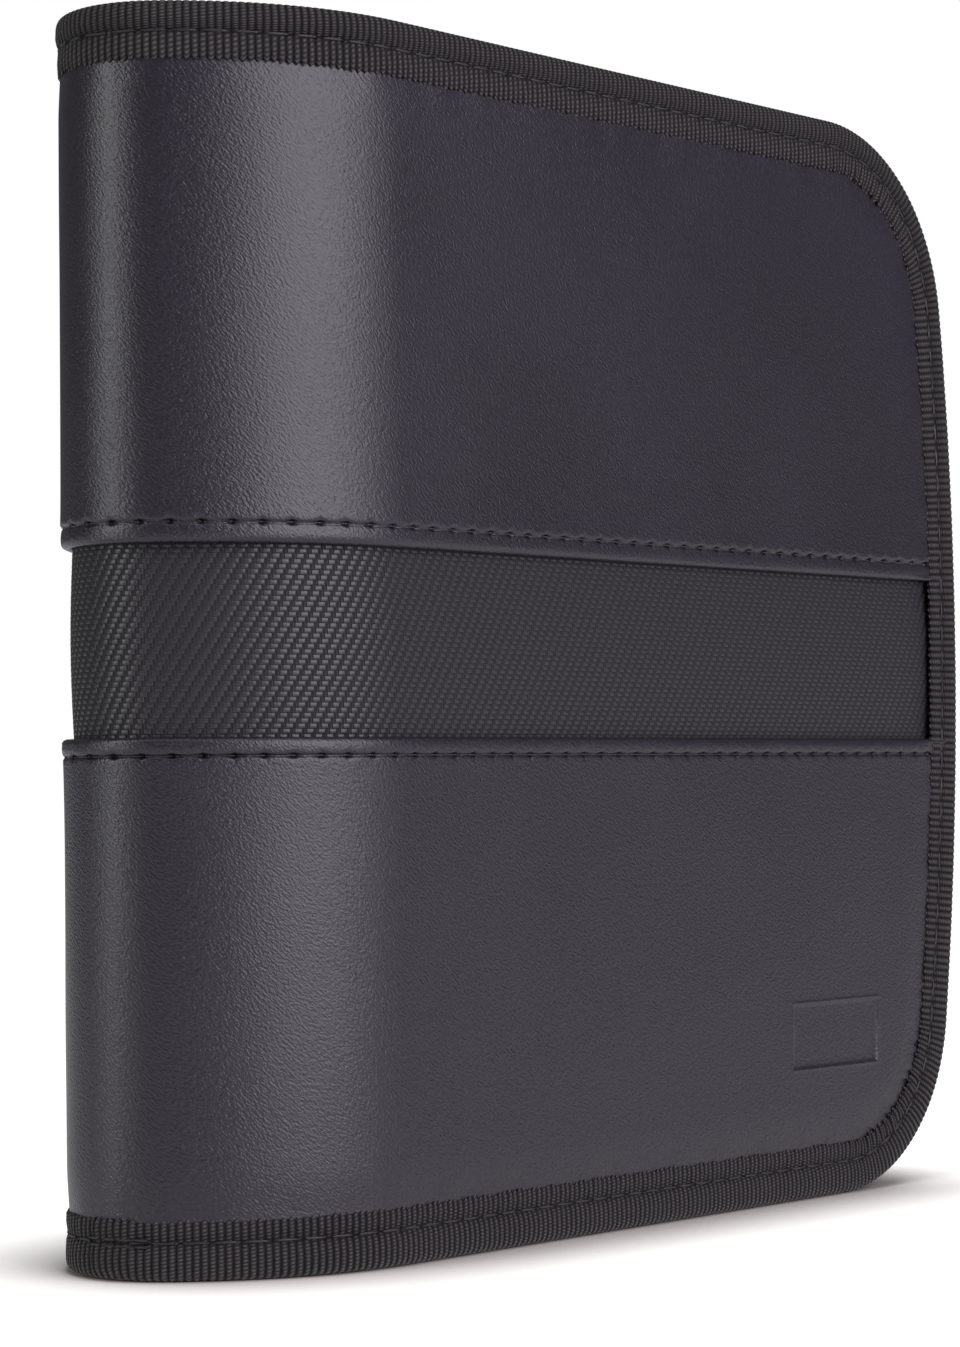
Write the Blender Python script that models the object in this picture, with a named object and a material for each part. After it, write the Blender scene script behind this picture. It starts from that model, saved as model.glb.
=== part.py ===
"""A padded, book-style storage case for discs, standing on its bottom edge.

The wall is a sandwich: coated-cloth skin, a woven band round the middle, foam, a stiff board
in each cover and a cloth lining.  It runs front cover, shoulder, spine, shoulder, back cover,
and a ribbed tape is folded over its rim.  Ten leaves with clear pockets on both faces are held
by a folded strip along the middle of the spine.  Metres, +Z up, +X from the spine to the
opening edge, front cover on -Y, origin at the middle of the footprint.
"""
import math

import bmesh
import bpy

MM = 0.001

# Height, and the length of a cover's flat part
CASE_HEIGHT = 165.0 * MM
COVER_FLAT = 134.8 * MM

# The spine's curve in plan: a tight back, a wide shoulder on each side, then the flat covers
SPINE_RADIUS = 14.5 * MM
SHOULDER_RADIUS = 40.4 * MM
SHOULDER_TURN = math.radians(49.5)
COVER_LEAN = math.radians(3.5)

# Rounded corners at the opening edge, and the long curve that this edge follows between them
TOP_CORNER_RADIUS = 31.0 * MM
BOTTOM_CORNER_RADIUS = 27.0 * MM
EDGE_RADIUS = 392.0 * MM
EDGE_MIDDLE = 76.0 * MM

# The plies of the wall, from the outside in
SKIN = 1.2 * MM
BAND = 0.5 * MM
FOAM = 1.2 * MM
BOARD = 0.8 * MM
LINING = 0.35 * MM
SLIP_POCKET = 0.3 * MM
PLY_GAP = 0.25 * MM
HINGE_GAP = 0.3 * MM

# The woven band: its visible height, its middle, and what the skins overlap on each side
BAND_HEIGHT = 25.0 * MM
BAND_MIDDLE = 82.5 * MM
BAND_OVERLAP = 6.0 * MM

# The tape folded over the rim
TAPE = 0.6 * MM
TAPE_LEG = 7.5 * MM
TAPE_ROUND = 0.5 * MM

# Where the plies stop short of the rim or of the flat part's start
FOAM_INSET = 3.0 * MM
BOARD_INSET = 9.0 * MM
BOARD_START = 2.0 * MM
SLIP_POCKET_START = 12.0 * MM

# The leaves: a non-woven sheet with a clear pocket on each face
LEAF_COUNT = 10
LEAF = 0.35 * MM
FILM = 0.15 * MM
LEAF_INSET = 8.5 * MM
FILM_INSET = 10.5 * MM
FILM_START = 3.0 * MM
FAN_SPACE = 7.5 * MM
EDGE_SPACE = 0.6 * MM

# The strip that grips the leaves' inner edges and is sewn to the spine
STRIP = 0.4 * MM
STRIP_END_INSET = 11.0 * MM
STRIP_LEG = 8.0 * MM
STRIP_FLANGE = 5.0 * MM

# How finely the curves are cut into flats
SPINE_STEPS = 10
SHOULDER_STEPS = 6
CORNER_STEPS = 8
LEAF_CORNER_STEPS = 3
STRIP_STEPS = 4
EDGE_LEVELS = (0.75, 0.5, 0.25, 0.06)
LEAF_EDGE_LEVELS = (0.5, 0.12)
LEAST_HEIGHT = 2.5 * MM

# Depths below the outer face, each worked out from the ply outside it
BAND_DEPTH = SKIN + PLY_GAP
FOAM_DEPTH = BAND_DEPTH + BAND + PLY_GAP
BOARD_DEPTH = FOAM_DEPTH + FOAM + PLY_GAP
LINING_DEPTH = BOARD_DEPTH + BOARD + PLY_GAP
POCKET_DEPTH = LINING_DEPTH + LINING + PLY_GAP
WALL = POCKET_DEPTH + SLIP_POCKET
TAPE_STAND = PLY_GAP + TAPE
RIM_INSET = TAPE + PLY_GAP

# Lengths along the outer face, from the middle of the spine
SPINE_TURN = math.radians(90.0) + COVER_LEAN - SHOULDER_TURN
FULL_TURN = SPINE_TURN + SHOULDER_TURN
BACK_ARC = SPINE_RADIUS * SPINE_TURN
FLAT_START = BACK_ARC + SHOULDER_RADIUS * SHOULDER_TURN
RIM_END = FLAT_START + COVER_FLAT

BAND_BOTTOM = BAND_MIDDLE - BAND_HEIGHT / 2
BAND_TOP = BAND_MIDDLE + BAND_HEIGHT / 2

FRONT = 1
BACK = -1


def outer_face(length):
    """Plan position x, y and turn of the outer face at a length from the middle of the spine."""
    if length <= BACK_ARC:
        turn = length / SPINE_RADIUS
        return SPINE_RADIUS * (1 - math.cos(turn)), SPINE_RADIUS * math.sin(turn), turn
    x = SPINE_RADIUS * (1 - math.cos(SPINE_TURN))
    y = SPINE_RADIUS * math.sin(SPINE_TURN)
    turn = min(SPINE_TURN + (length - BACK_ARC) / SHOULDER_RADIUS, FULL_TURN)
    x += SHOULDER_RADIUS * (math.cos(SPINE_TURN) - math.cos(turn))
    y += SHOULDER_RADIUS * (math.sin(turn) - math.sin(SPINE_TURN))
    flat = max(length - FLAT_START, 0.0)
    return x + flat * math.sin(turn), y + flat * math.cos(turn), turn


# The footprint's middle, so that the origin sits there
FORE_X = outer_face(RIM_END)[0] - TAPE_STAND * math.cos(FULL_TURN)
MIDDLE_X = (FORE_X - TAPE_STAND) / 2


def wall_point(length, depth):
    """Plan position at a signed length from the middle of the spine (front positive) and a depth."""
    x, y, turn = outer_face(abs(length))
    x += depth * math.cos(turn)
    y -= depth * math.sin(turn)
    return x - MIDDLE_X, -math.copysign(y, length)


def hinge_point():
    """The point that a cover turns about: it carries the flat cover from closed to laid open.

    Closed, the flat part starts at the end of the shoulder.  Laid open, the spine is unrolled
    and the same point lies as far to the side as the curve is long.
    """
    closed_x, closed_y, turn = outer_face(FLAT_START)
    open_x, open_y = 0.0, FLAT_START
    half_x, half_y = (open_x - closed_x) / 2, (open_y - closed_y) / 2
    reach = 1 / math.tan(turn / 2)
    x = closed_x + half_x - half_y * reach
    y = closed_y + half_y + half_x * reach
    return x, y


HINGE_X, HINGE_Y = hinge_point()

# The cover takes over from the spine where the wall is nearest the point it turns about
SHOULDER_X = SPINE_RADIUS + (SHOULDER_RADIUS - SPINE_RADIUS) * math.cos(SPINE_TURN)
SHOULDER_Y = (SPINE_RADIUS - SHOULDER_RADIUS) * math.sin(SPINE_TURN)
HINGE_TURN = math.atan2(HINGE_Y - SHOULDER_Y, SHOULDER_X - HINGE_X)
HINGE_ARC = BACK_ARC + SHOULDER_RADIUS * (HINGE_TURN - SPINE_TURN)
COVER_START = HINGE_ARC + HINGE_GAP / 2
SPINE_END = HINGE_ARC - HINGE_GAP / 2

# The opening edge's long curve: its centre, measured along the flat cover
EDGE_CENTRE = COVER_FLAT - EDGE_RADIUS


class Corner:
    """A round corner that runs smoothly from the straight rim into the opening edge's curve."""

    def __init__(self, radius, rise, way):
        self.radius = radius
        self.rise = rise
        self.way = way
        self.centre = EDGE_CENTRE + math.sqrt((EDGE_RADIUS - radius) ** 2 - rise ** 2)
        self.edge_angle = math.asin(rise / (EDGE_RADIUS - radius))

    def height(self, flat, inset):
        """Height of an outline inset from the rim, at a distance along the flat cover."""
        across = max(flat - self.centre, 0.0)
        curve_end = EDGE_CENTRE + (EDGE_RADIUS - inset) * math.cos(self.edge_angle)
        if flat <= curve_end:
            reach = max((self.radius - inset) ** 2 - across ** 2, 0.0)
            return EDGE_MIDDLE + self.way * (self.rise + math.sqrt(reach))
        reach = max((EDGE_RADIUS - inset) ** 2 - (flat - EDGE_CENTRE) ** 2, 0.0)
        return EDGE_MIDDLE + self.way * math.sqrt(reach)

    def corner_points(self, inset, steps):
        """Places along the cover and heights round the corner, from the straight rim on."""
        points = []
        for step in range(steps + 1):
            angle = (math.pi / 2 - self.edge_angle) * step / steps
            across = (self.radius - inset) * math.sin(angle)
            up = self.rise + (self.radius - inset) * math.cos(angle)
            points.append((self.centre + across, EDGE_MIDDLE + self.way * up))
        return points

    def edge_points(self, inset, levels):
        """The same along the opening edge's curve, from the corner towards its middle."""
        points = []
        for level in levels:
            angle = self.edge_angle * level
            across = (EDGE_RADIUS - inset) * math.cos(angle)
            up = (EDGE_RADIUS - inset) * math.sin(angle)
            points.append((EDGE_CENTRE + across, EDGE_MIDDLE + self.way * up))
        return points


BOTTOM_CORNER = Corner(BOTTOM_CORNER_RADIUS, EDGE_MIDDLE - BOTTOM_CORNER_RADIUS, -1)
TOP_CORNER = Corner(TOP_CORNER_RADIUS, CASE_HEIGHT - TOP_CORNER_RADIUS - EDGE_MIDDLE, 1)


def rim_stops(inset, corner_steps, edge_levels):
    """Distances along the flat cover at which a sheet's outline bends."""
    points = TOP_CORNER.corner_points(inset, corner_steps)
    points += TOP_CORNER.edge_points(inset, edge_levels)
    return [flat for flat, height in points]


def even_stops(start, end, steps):
    return [start + (end - start) * step / steps for step in range(steps + 1)]


def material(name, colour, roughness, metallic=0.0, alpha=1.0):
    made = bpy.data.materials.new(name)
    made.use_nodes = True
    shader = made.node_tree.nodes["Principled BSDF"]
    shader.inputs["Base Color"].default_value = (*colour, 1.0)
    shader.inputs["Roughness"].default_value = roughness
    shader.inputs["Metallic"].default_value = metallic
    shader.inputs["Alpha"].default_value = alpha
    made.diffuse_color = (*colour, alpha)
    return made


def add_solid(name, rings, finish, axis=None):
    """Join a row of closed rings of points into one solid, capped at both ends."""
    origin = axis.location if axis else (0.0, 0.0, 0.0)
    build = bmesh.new()
    loops = []
    for ring in rings:
        loops.append([build.verts.new([point[i] - origin[i] for i in range(3)]) for point in ring])
    for first, second in zip(loops, loops[1:]):
        count = len(first)
        for i in range(count):
            j = (i + 1) % count
            build.faces.new((first[i], first[j], second[j], second[i]))
    build.faces.new(loops[0])
    build.faces.new(list(reversed(loops[-1])))
    bmesh.ops.recalc_face_normals(build, faces=build.faces[:])
    mesh = bpy.data.meshes.new(name)
    build.to_mesh(mesh)
    build.free()
    mesh.shade_smooth()
    mesh.set_sharp_from_angle(angle=math.radians(35.0))
    mesh.materials.append(finish)
    piece = bpy.data.objects.new(name, mesh)
    bpy.context.collection.objects.link(piece)
    if axis:
        piece.parent = axis
    return piece


def hinge_axis(name, side):
    axis = bpy.data.objects.new(name, None)
    axis.empty_display_size = 10.0 * MM
    axis.location = (HINGE_X - MIDDLE_X, -side * HINGE_Y, 0.0)
    bpy.context.collection.objects.link(axis)
    return axis


def wall_ring(length, outer, inner, low, high):
    """Four corners of the wall's section at one length: outer face first."""
    outer_xy = wall_point(length, outer)
    inner_xy = wall_point(length, inner)
    return [(*outer_xy, low), (*outer_xy, high), (*inner_xy, high), (*inner_xy, low)]


def cover_sheet(name, side, axis, finish, depth, thick, inset, start=None, zone=None):
    """One ply of a cover: from the hinge, or a start on the flat part, out to the rim."""
    low_limit, high_limit = zone or (0.0, CASE_HEIGHT)
    if start is None:
        lengths = even_stops(COVER_START, FLAT_START, SHOULDER_STEPS)
    else:
        lengths = [FLAT_START + start]
    lengths += [FLAT_START + flat for flat in rim_stops(inset, CORNER_STEPS, EDGE_LEVELS)]
    rings = []
    for length in lengths:
        flat = length - FLAT_START
        low = max(BOTTOM_CORNER.height(flat, inset), low_limit)
        high = min(TOP_CORNER.height(flat, inset), high_limit)
        if high - low >= LEAST_HEIGHT:
            rings.append(wall_ring(side * length, depth, depth + thick, low, high))
    return add_solid(name, rings, finish, axis)


def spine_sheet(name, finish, depth, thick, low, high):
    """One ply of the spine, from hinge to hinge."""
    back = even_stops(-BACK_ARC, BACK_ARC, SPINE_STEPS)
    rings = [wall_ring(length, depth, depth + thick, low, high)
             for length in [-SPINE_END, *back, SPINE_END]]
    return add_solid(name, rings, finish)


def tape_section():
    """The folded tape's section as inset and depth: outside round the rim, then back inside."""
    outer, inner = -TAPE_STAND, WALL + TAPE_STAND
    return ((TAPE_LEG, outer + TAPE), (TAPE_LEG, outer),
            (TAPE_ROUND, outer), (0.0, outer + TAPE_ROUND),
            (0.0, inner - TAPE_ROUND), (TAPE_ROUND, inner),
            (TAPE_LEG, inner), (TAPE_LEG, inner - TAPE),
            (TAPE, inner - TAPE), (TAPE, outer + TAPE))


def rim_path(inset):
    """The rim as length and height at an inset, along the bottom, round the edge and back."""
    run = even_stops(COVER_START, FLAT_START, SHOULDER_STEPS)
    levels = EDGE_LEVELS[:-1]
    edge = BOTTOM_CORNER.corner_points(inset, CORNER_STEPS)
    edge += BOTTOM_CORNER.edge_points(inset, levels)
    edge += TOP_CORNER.edge_points(inset, (0.0, *levels[::-1]))
    edge += TOP_CORNER.corner_points(inset, CORNER_STEPS)[::-1]
    path = [(length, inset) for length in run]
    path += [(FLAT_START + flat, height) for flat, height in edge]
    path += [(length, CASE_HEIGHT - inset) for length in run[::-1]]
    return path


def cover_tape(name, side, axis, finish):
    """The tape round one cover: along the bottom, up the opening edge and back along the top."""
    section = tape_section()
    paths = [rim_path(inset) for inset, depth in section]
    rings = []
    for i in range(len(paths[0])):
        ring = []
        for path, (inset, depth) in zip(paths, section):
            length, height = path[i]
            ring.append((*wall_point(side * length, depth), height))
        rings.append(ring)
    return add_solid(name, rings, finish, axis)


def spine_tape(name, finish, rim, inward):
    """The tape across the top or the bottom of the spine."""
    back = even_stops(-BACK_ARC, BACK_ARC, SPINE_STEPS)
    rings = []
    for length in [-SPINE_END, *back, SPINE_END]:
        rings.append([(*wall_point(length, depth), rim + inward * inset)
                      for inset, depth in tape_section()])
    return add_solid(name, rings, finish)


# The leaves' plan: gripped in the strip, fanned out, then closing again to the opening edge
STUB_PITCH = LEAF + PLY_GAP
STRIP_GRIP = STUB_PITCH * (LEAF_COUNT - 1) / 2 + LEAF / 2 + PLY_GAP
FLANGE_RADIUS = SPINE_RADIUS - LINING_DEPTH - LINING - PLY_GAP
STRIP_BASE = SPINE_RADIUS - math.sqrt((FLANGE_RADIUS - STRIP) ** 2 - STRIP_GRIP ** 2)
STUB_START = STRIP_BASE + PLY_GAP
STUB_END = STUB_START + STRIP_LEG
FAN_END, FAN_WALL, _ = outer_face(FLAT_START)
LEAF_LENGTH = COVER_FLAT - LEAF_INSET
LEAF_HALF = LEAF / 2 + PLY_GAP + FILM

# The room between the covers' inner faces sets how far the leaves spread, first at the end of
# the shoulder and then at the opening edge
FAN_HALF = FAN_WALL - WALL - FAN_SPACE
EDGE_HALF = outer_face(FLAT_START + LEAF_LENGTH)[1] - WALL - EDGE_SPACE - LEAF_HALF
FAN_PITCH = 2 * FAN_HALF / (LEAF_COUNT - 1)
EDGE_PITCH = 2 * EDGE_HALF / (LEAF_COUNT - 1)


def leaf_middle(x, order):
    """Sideways place of a leaf's middle at a distance x from the spine's outer face."""
    if x <= STUB_END:
        return order * STUB_PITCH
    if x <= FAN_END:
        share = (x - STUB_END) / (FAN_END - STUB_END)
        return order * (STUB_PITCH + (FAN_PITCH - STUB_PITCH) * share)
    share = (x - FAN_END) / LEAF_LENGTH
    return order * (FAN_PITCH + (EDGE_PITCH - FAN_PITCH) * share)


def leaf_sheet(name, finish, order, offset, thick, inset, starts):
    """A flat sheet of a leaf: the non-woven itself, or the film of one of its pockets."""
    rim = rim_stops(inset, LEAF_CORNER_STEPS, LEAF_EDGE_LEVELS)
    rings = []
    for x in starts + [FAN_END + flat for flat in rim]:
        low = BOTTOM_CORNER.height(x - FAN_END, inset)
        high = TOP_CORNER.height(x - FAN_END, inset)
        y = leaf_middle(x, order) + offset
        near, far = y - thick / 2, y + thick / 2
        place = x - MIDDLE_X
        rings.append([(place, near, low), (place, near, high), (place, far, high),
                      (place, far, low)])
    return add_solid(name, rings, finish)


def add_leaf(number, sheet_finish, film_finish):
    order = number - (LEAF_COUNT - 1) / 2
    label = f"{number + 1:02d}"
    leaf_sheet(f"leaf_{label}", sheet_finish, order, 0.0, LEAF, LEAF_INSET,
               [STUB_START, STUB_END, FAN_END])
    film_offset = (LEAF + FILM) / 2 + PLY_GAP
    for way, side in ((-1, "front"), (1, "back")):
        leaf_sheet(f"pocket_{label}_{side}", film_finish, order, way * film_offset, FILM,
                   FILM_INSET, [FAN_END + FILM_START])


def add_strip(finish):
    """The folded strip: a flange on the spine's lining and two legs that grip the leaves."""
    grip = STRIP_GRIP
    half_turn = (grip + STRIP + STRIP_FLANGE) / FLANGE_RADIUS
    leg_turn = math.asin((grip + STRIP) / (FLANGE_RADIUS - STRIP))
    turns = even_stops(-half_turn, half_turn, 2 * STRIP_STEPS)
    side_turns = even_stops(half_turn, leg_turn, STRIP_STEPS)

    def on_arc(radius, turn):
        return SPINE_RADIUS - radius * math.cos(turn), radius * math.sin(turn)

    section = [on_arc(FLANGE_RADIUS, turn) for turn in turns]
    section += [on_arc(FLANGE_RADIUS - STRIP, turn) for turn in side_turns]
    section += [(STUB_END, grip + STRIP), (STUB_END, grip), (STRIP_BASE, grip)]
    section += [(STRIP_BASE, -grip), (STUB_END, -grip), (STUB_END, -grip - STRIP)]
    section += [on_arc(FLANGE_RADIUS - STRIP, -turn) for turn in side_turns[::-1]]
    rings = [[(x - MIDDLE_X, y, height) for x, y in section]
             for height in (STRIP_END_INSET, CASE_HEIGHT - STRIP_END_INSET)]
    return add_solid("leaf_binding_strip", rings, finish)


def clear_scene():
    for old in list(bpy.data.objects):
        bpy.data.objects.remove(old)


def build():
    clear_scene()
    skin = material("charcoal_coated_cloth", (0.030, 0.029, 0.040), 0.48)
    woven = material("black_twill", (0.012, 0.012, 0.014), 0.75)
    ribbed = material("black_ribbed_tape", (0.016, 0.016, 0.018), 0.70)
    foam = material("grey_foam", (0.30, 0.30, 0.31), 0.95)
    board = material("grey_board", (0.20, 0.19, 0.18), 0.60)
    cloth = material("black_lining", (0.020, 0.020, 0.022), 0.80)
    sheet = material("pale_non_woven", (0.72, 0.73, 0.74), 0.90)
    film = material("clear_film", (0.85, 0.88, 0.90), 0.12, alpha=0.35)

    lower_zone = (RIM_INSET, BAND_BOTTOM)
    upper_zone = (BAND_TOP, CASE_HEIGHT - RIM_INSET)
    band_zone = (BAND_BOTTOM - BAND_OVERLAP, BAND_TOP + BAND_OVERLAP)
    full_zone = (RIM_INSET, CASE_HEIGHT - RIM_INSET)
    foam_zone = (FOAM_INSET, CASE_HEIGHT - FOAM_INSET)
    spine_foam = LINING_DEPTH - PLY_GAP - FOAM_DEPTH

    for side, label in ((FRONT, "front"), (BACK, "back")):
        axis = hinge_axis(f"{label}_cover_axis", side)
        cover_sheet(f"{label}_upper_skin", side, axis, skin, 0.0, SKIN, RIM_INSET, zone=upper_zone)
        cover_sheet(f"{label}_lower_skin", side, axis, skin, 0.0, SKIN, RIM_INSET, zone=lower_zone)
        cover_sheet(f"{label}_band", side, axis, woven, BAND_DEPTH, BAND, RIM_INSET, zone=band_zone)
        cover_sheet(f"{label}_foam", side, axis, foam, FOAM_DEPTH, FOAM, FOAM_INSET)
        cover_sheet(f"{label}_board", side, axis, board, BOARD_DEPTH, BOARD, BOARD_INSET,
                    start=BOARD_START)
        cover_sheet(f"{label}_lining", side, axis, cloth, LINING_DEPTH, LINING, RIM_INSET)
        cover_sheet(f"{label}_slip_pocket", side, axis, cloth, POCKET_DEPTH, SLIP_POCKET,
                    RIM_INSET, start=SLIP_POCKET_START)
        cover_tape(f"{label}_edge_tape", side, axis, ribbed)

    spine_sheet("spine_upper_skin", skin, 0.0, SKIN, *upper_zone)
    spine_sheet("spine_lower_skin", skin, 0.0, SKIN, *lower_zone)
    spine_sheet("spine_band", woven, BAND_DEPTH, BAND, *band_zone)
    spine_sheet("spine_foam", foam, FOAM_DEPTH, spine_foam, *foam_zone)
    spine_sheet("spine_lining", cloth, LINING_DEPTH, LINING, *full_zone)
    spine_tape("spine_top_tape", ribbed, CASE_HEIGHT, -1)
    spine_tape("spine_bottom_tape", ribbed, 0.0, 1)

    add_strip(cloth)
    for number in range(LEAF_COUNT):
        add_leaf(number, sheet, film)


build()
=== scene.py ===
# %% [markdown]
# This file dresses a padded, book-style storage case for discs. On the real case a wall of skin,
# band, foam, board and lining runs round a spine, and a ribbed tape is folded over its rim. The
# solids of that wall come packed, so the first step only loads them and notes their box. Every
# piece made below lies where its solid lies.

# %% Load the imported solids
import math

import bpy
import numpy as np
from mathutils import Matrix, Vector


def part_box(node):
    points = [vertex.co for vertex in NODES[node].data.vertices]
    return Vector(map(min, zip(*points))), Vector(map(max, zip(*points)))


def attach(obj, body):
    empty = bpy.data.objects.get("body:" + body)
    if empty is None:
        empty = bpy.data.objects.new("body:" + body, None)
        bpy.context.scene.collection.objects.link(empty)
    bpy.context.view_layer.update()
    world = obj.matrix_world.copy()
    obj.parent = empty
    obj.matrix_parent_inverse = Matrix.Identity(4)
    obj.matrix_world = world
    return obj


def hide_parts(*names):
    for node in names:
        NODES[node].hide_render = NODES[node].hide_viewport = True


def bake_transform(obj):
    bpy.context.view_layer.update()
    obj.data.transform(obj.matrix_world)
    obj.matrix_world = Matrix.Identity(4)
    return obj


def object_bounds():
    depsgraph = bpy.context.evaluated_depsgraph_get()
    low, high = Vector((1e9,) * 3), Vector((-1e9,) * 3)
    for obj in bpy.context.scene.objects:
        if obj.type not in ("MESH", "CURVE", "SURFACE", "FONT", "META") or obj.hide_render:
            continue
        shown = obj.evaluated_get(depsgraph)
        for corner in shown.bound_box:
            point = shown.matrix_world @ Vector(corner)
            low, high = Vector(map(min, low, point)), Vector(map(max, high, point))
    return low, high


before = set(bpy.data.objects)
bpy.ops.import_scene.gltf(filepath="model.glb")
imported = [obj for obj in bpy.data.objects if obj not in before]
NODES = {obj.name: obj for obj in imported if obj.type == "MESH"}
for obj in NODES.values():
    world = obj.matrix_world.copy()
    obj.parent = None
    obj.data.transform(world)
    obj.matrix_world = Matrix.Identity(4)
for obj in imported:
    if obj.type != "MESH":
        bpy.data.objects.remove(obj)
cad_low, cad_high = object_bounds()
MM = 0.001
print("solids:", len(NODES), "box in mm:", [round(v / MM, 1) for v in (cad_high - cad_low)])

# %% [markdown]
# The wall is one long strip of cloth. It could be modelled in world space, but it is far easier
# to think of it laid flat: a length from the middle of the spine, a height, and how far a point
# stands out of the outer face. One function then wraps that flat strip round the spine, so that
# skins, band, tape and lining all follow the same curve. Sizes are in millimetres, and a mesh
# turns them into metres only when it is made.

# %% The wall's curve in plan
CASE_HEIGHT = cad_high.z / MM
COVER_FLAT = 134.8
SPINE_RADIUS = 14.5
SHOULDER_RADIUS = 40.4
SHOULDER_TURN = math.radians(49.5)
COVER_LEAN = math.radians(3.5)
SPINE_TURN = math.radians(90.0) + COVER_LEAN - SHOULDER_TURN
BACK_ARC = SPINE_RADIUS * SPINE_TURN
FLAT_START = BACK_ARC + SHOULDER_RADIUS * SHOULDER_TURN
RIM_END = FLAT_START + COVER_FLAT
SPINE_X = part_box("spine_upper_skin")[0].x / MM
FRONT = 1
BACK = -1
SIDES = {FRONT: "front", BACK: "back"}


def outer_face(length):
    """Place and turn of the outer face, for lengths from the middle of the spine."""
    length = np.abs(np.asarray(length, float))
    back = np.minimum(length, BACK_ARC) / SPINE_RADIUS
    turn = back + np.clip((length - BACK_ARC) / SHOULDER_RADIUS, 0.0, SHOULDER_TURN)
    flat = np.maximum(length - FLAT_START, 0.0)
    x = SPINE_RADIUS * (1 - np.cos(back)) + SHOULDER_RADIUS * (np.cos(back) - np.cos(turn))
    y = SPINE_RADIUS * np.sin(back) + SHOULDER_RADIUS * (np.sin(turn) - np.sin(back))
    return x + flat * np.sin(turn), y + flat * np.cos(turn), turn


def wall(side, length, height, stand):
    """World points of the strip: stand is how far out of the outer face a point lies."""
    length, height, stand = np.broadcast_arrays(length, height, stand)
    x, y, turn = outer_face(length)
    x = SPINE_X + x - stand * np.cos(turn)
    y = y + stand * np.sin(turn)
    return np.stack([x, -side * y, height], axis=-1)


def outward(side, length):
    """Unit vector out of the outer face."""
    turn = outer_face(length)[2]
    return np.stack([-np.cos(turn), -side * np.sin(turn), np.zeros_like(turn)], axis=-1)


def lengthwise(side, length):
    """Unit vector along the strip, away from the spine."""
    turn = outer_face(length)[2]
    return np.stack([np.sin(turn), -side * np.cos(turn), np.zeros_like(turn)], axis=-1)


def lay(side, lengths, heights, stand):
    """World points and flat coordinates of a grid: a column for each length, a row a height."""
    level = heights[None, :] + 0 * lengths
    return wall(side, lengths, level, stand), np.stack([side * lengths, level, stand], -1)


flat_corner = wall(FRONT, FLAT_START, 0.0, 0.0)
print("flat cover starts at mm:", np.round(flat_corner, 2))

# %% [markdown]
# The rim of one cover runs along the bottom, round a corner, up the gently bowed opening edge,
# round the upper corner and back along the top. A curve object could hold it, but a formula
# gives something a curve can't: for any distance along the rim, the point and the direction
# that faces inward, so that the tape, its ribs and its seam are simple offsets from it.

# %% The rim of one cover
BOTTOM_RADIUS = 28.5
TOP_RADIUS = 31.0
EDGE_RADIUS = 430.0
EDGE_MIDDLE = 80.0
EDGE_CENTRE = FLAT_START + COVER_FLAT - EDGE_RADIUS
QUARTER = math.pi / 2


def corner_facts(radius, rise):
    """Where a corner's centre lies along the strip, and the angle where the bow takes over."""
    centre = EDGE_CENTRE + math.sqrt((EDGE_RADIUS - radius) ** 2 - rise**2)
    return centre, math.asin(rise / (EDGE_RADIUS - radius))


BOTTOM_CENTRE, BOTTOM_ANGLE = corner_facts(BOTTOM_RADIUS, EDGE_MIDDLE - BOTTOM_RADIUS)
TOP_CENTRE, TOP_ANGLE = corner_facts(TOP_RADIUS, CASE_HEIGHT - TOP_RADIUS - EDGE_MIDDLE)
CORNERS = ((BOTTOM_RADIUS, BOTTOM_CENTRE, BOTTOM_RADIUS, -1),
           (TOP_RADIUS, TOP_CENTRE, CASE_HEIGHT - TOP_RADIUS, 1))
RIM_KNOTS = np.cumsum([
    0.0,
    BOTTOM_CENTRE,
    BOTTOM_RADIUS * (QUARTER - BOTTOM_ANGLE),
    EDGE_RADIUS * (BOTTOM_ANGLE + TOP_ANGLE),
    TOP_RADIUS * (QUARTER - TOP_ANGLE),
    TOP_CENTRE,
])
RIM_LENGTH = RIM_KNOTS[-1]
RIB_SPACING = 1.045
RIB_PITCH = RIM_LENGTH / round(RIM_LENGTH / RIB_SPACING)


def rim(along, inset):
    """Length and height of the point at a distance along the rim, moved inward by the inset."""
    along, inset = np.broadcast_arrays(np.asarray(along, float), inset)
    facing = np.interp(along, RIM_KNOTS,
                       [-QUARTER, -QUARTER, -BOTTOM_ANGLE, TOP_ANGLE, QUARTER, QUARTER])
    part = np.searchsorted(RIM_KNOTS[1:-1], along)
    centre = np.choose(part, [along, BOTTOM_CENTRE, EDGE_CENTRE, TOP_CENTRE, RIM_LENGTH - along])
    middle = np.choose(part, [BOTTOM_RADIUS, BOTTOM_RADIUS, EDGE_MIDDLE,
                              CASE_HEIGHT - TOP_RADIUS, CASE_HEIGHT - TOP_RADIUS])
    reach = np.choose(part, [BOTTOM_RADIUS, BOTTOM_RADIUS, EDGE_RADIUS, TOP_RADIUS, TOP_RADIUS])
    reach = reach - inset
    return centre + reach * np.cos(facing), middle + reach * np.sin(facing), facing


def edge_length(height, inset):
    """Length at which a level line meets the rim, moved inward by the inset."""
    height = np.asarray(height, float)
    up = height - EDGE_MIDDLE
    edge = EDGE_CENTRE + np.sqrt((EDGE_RADIUS - inset) ** 2 - up**2)
    for radius, centre, middle, way in CORNERS:
        past = way * (height - middle)
        round_it = np.sqrt(np.clip((radius - inset) ** 2 - past**2, 0.0, None))
        edge = np.where(past > 0, np.minimum(edge, centre + round_it), edge)
    return edge


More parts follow.
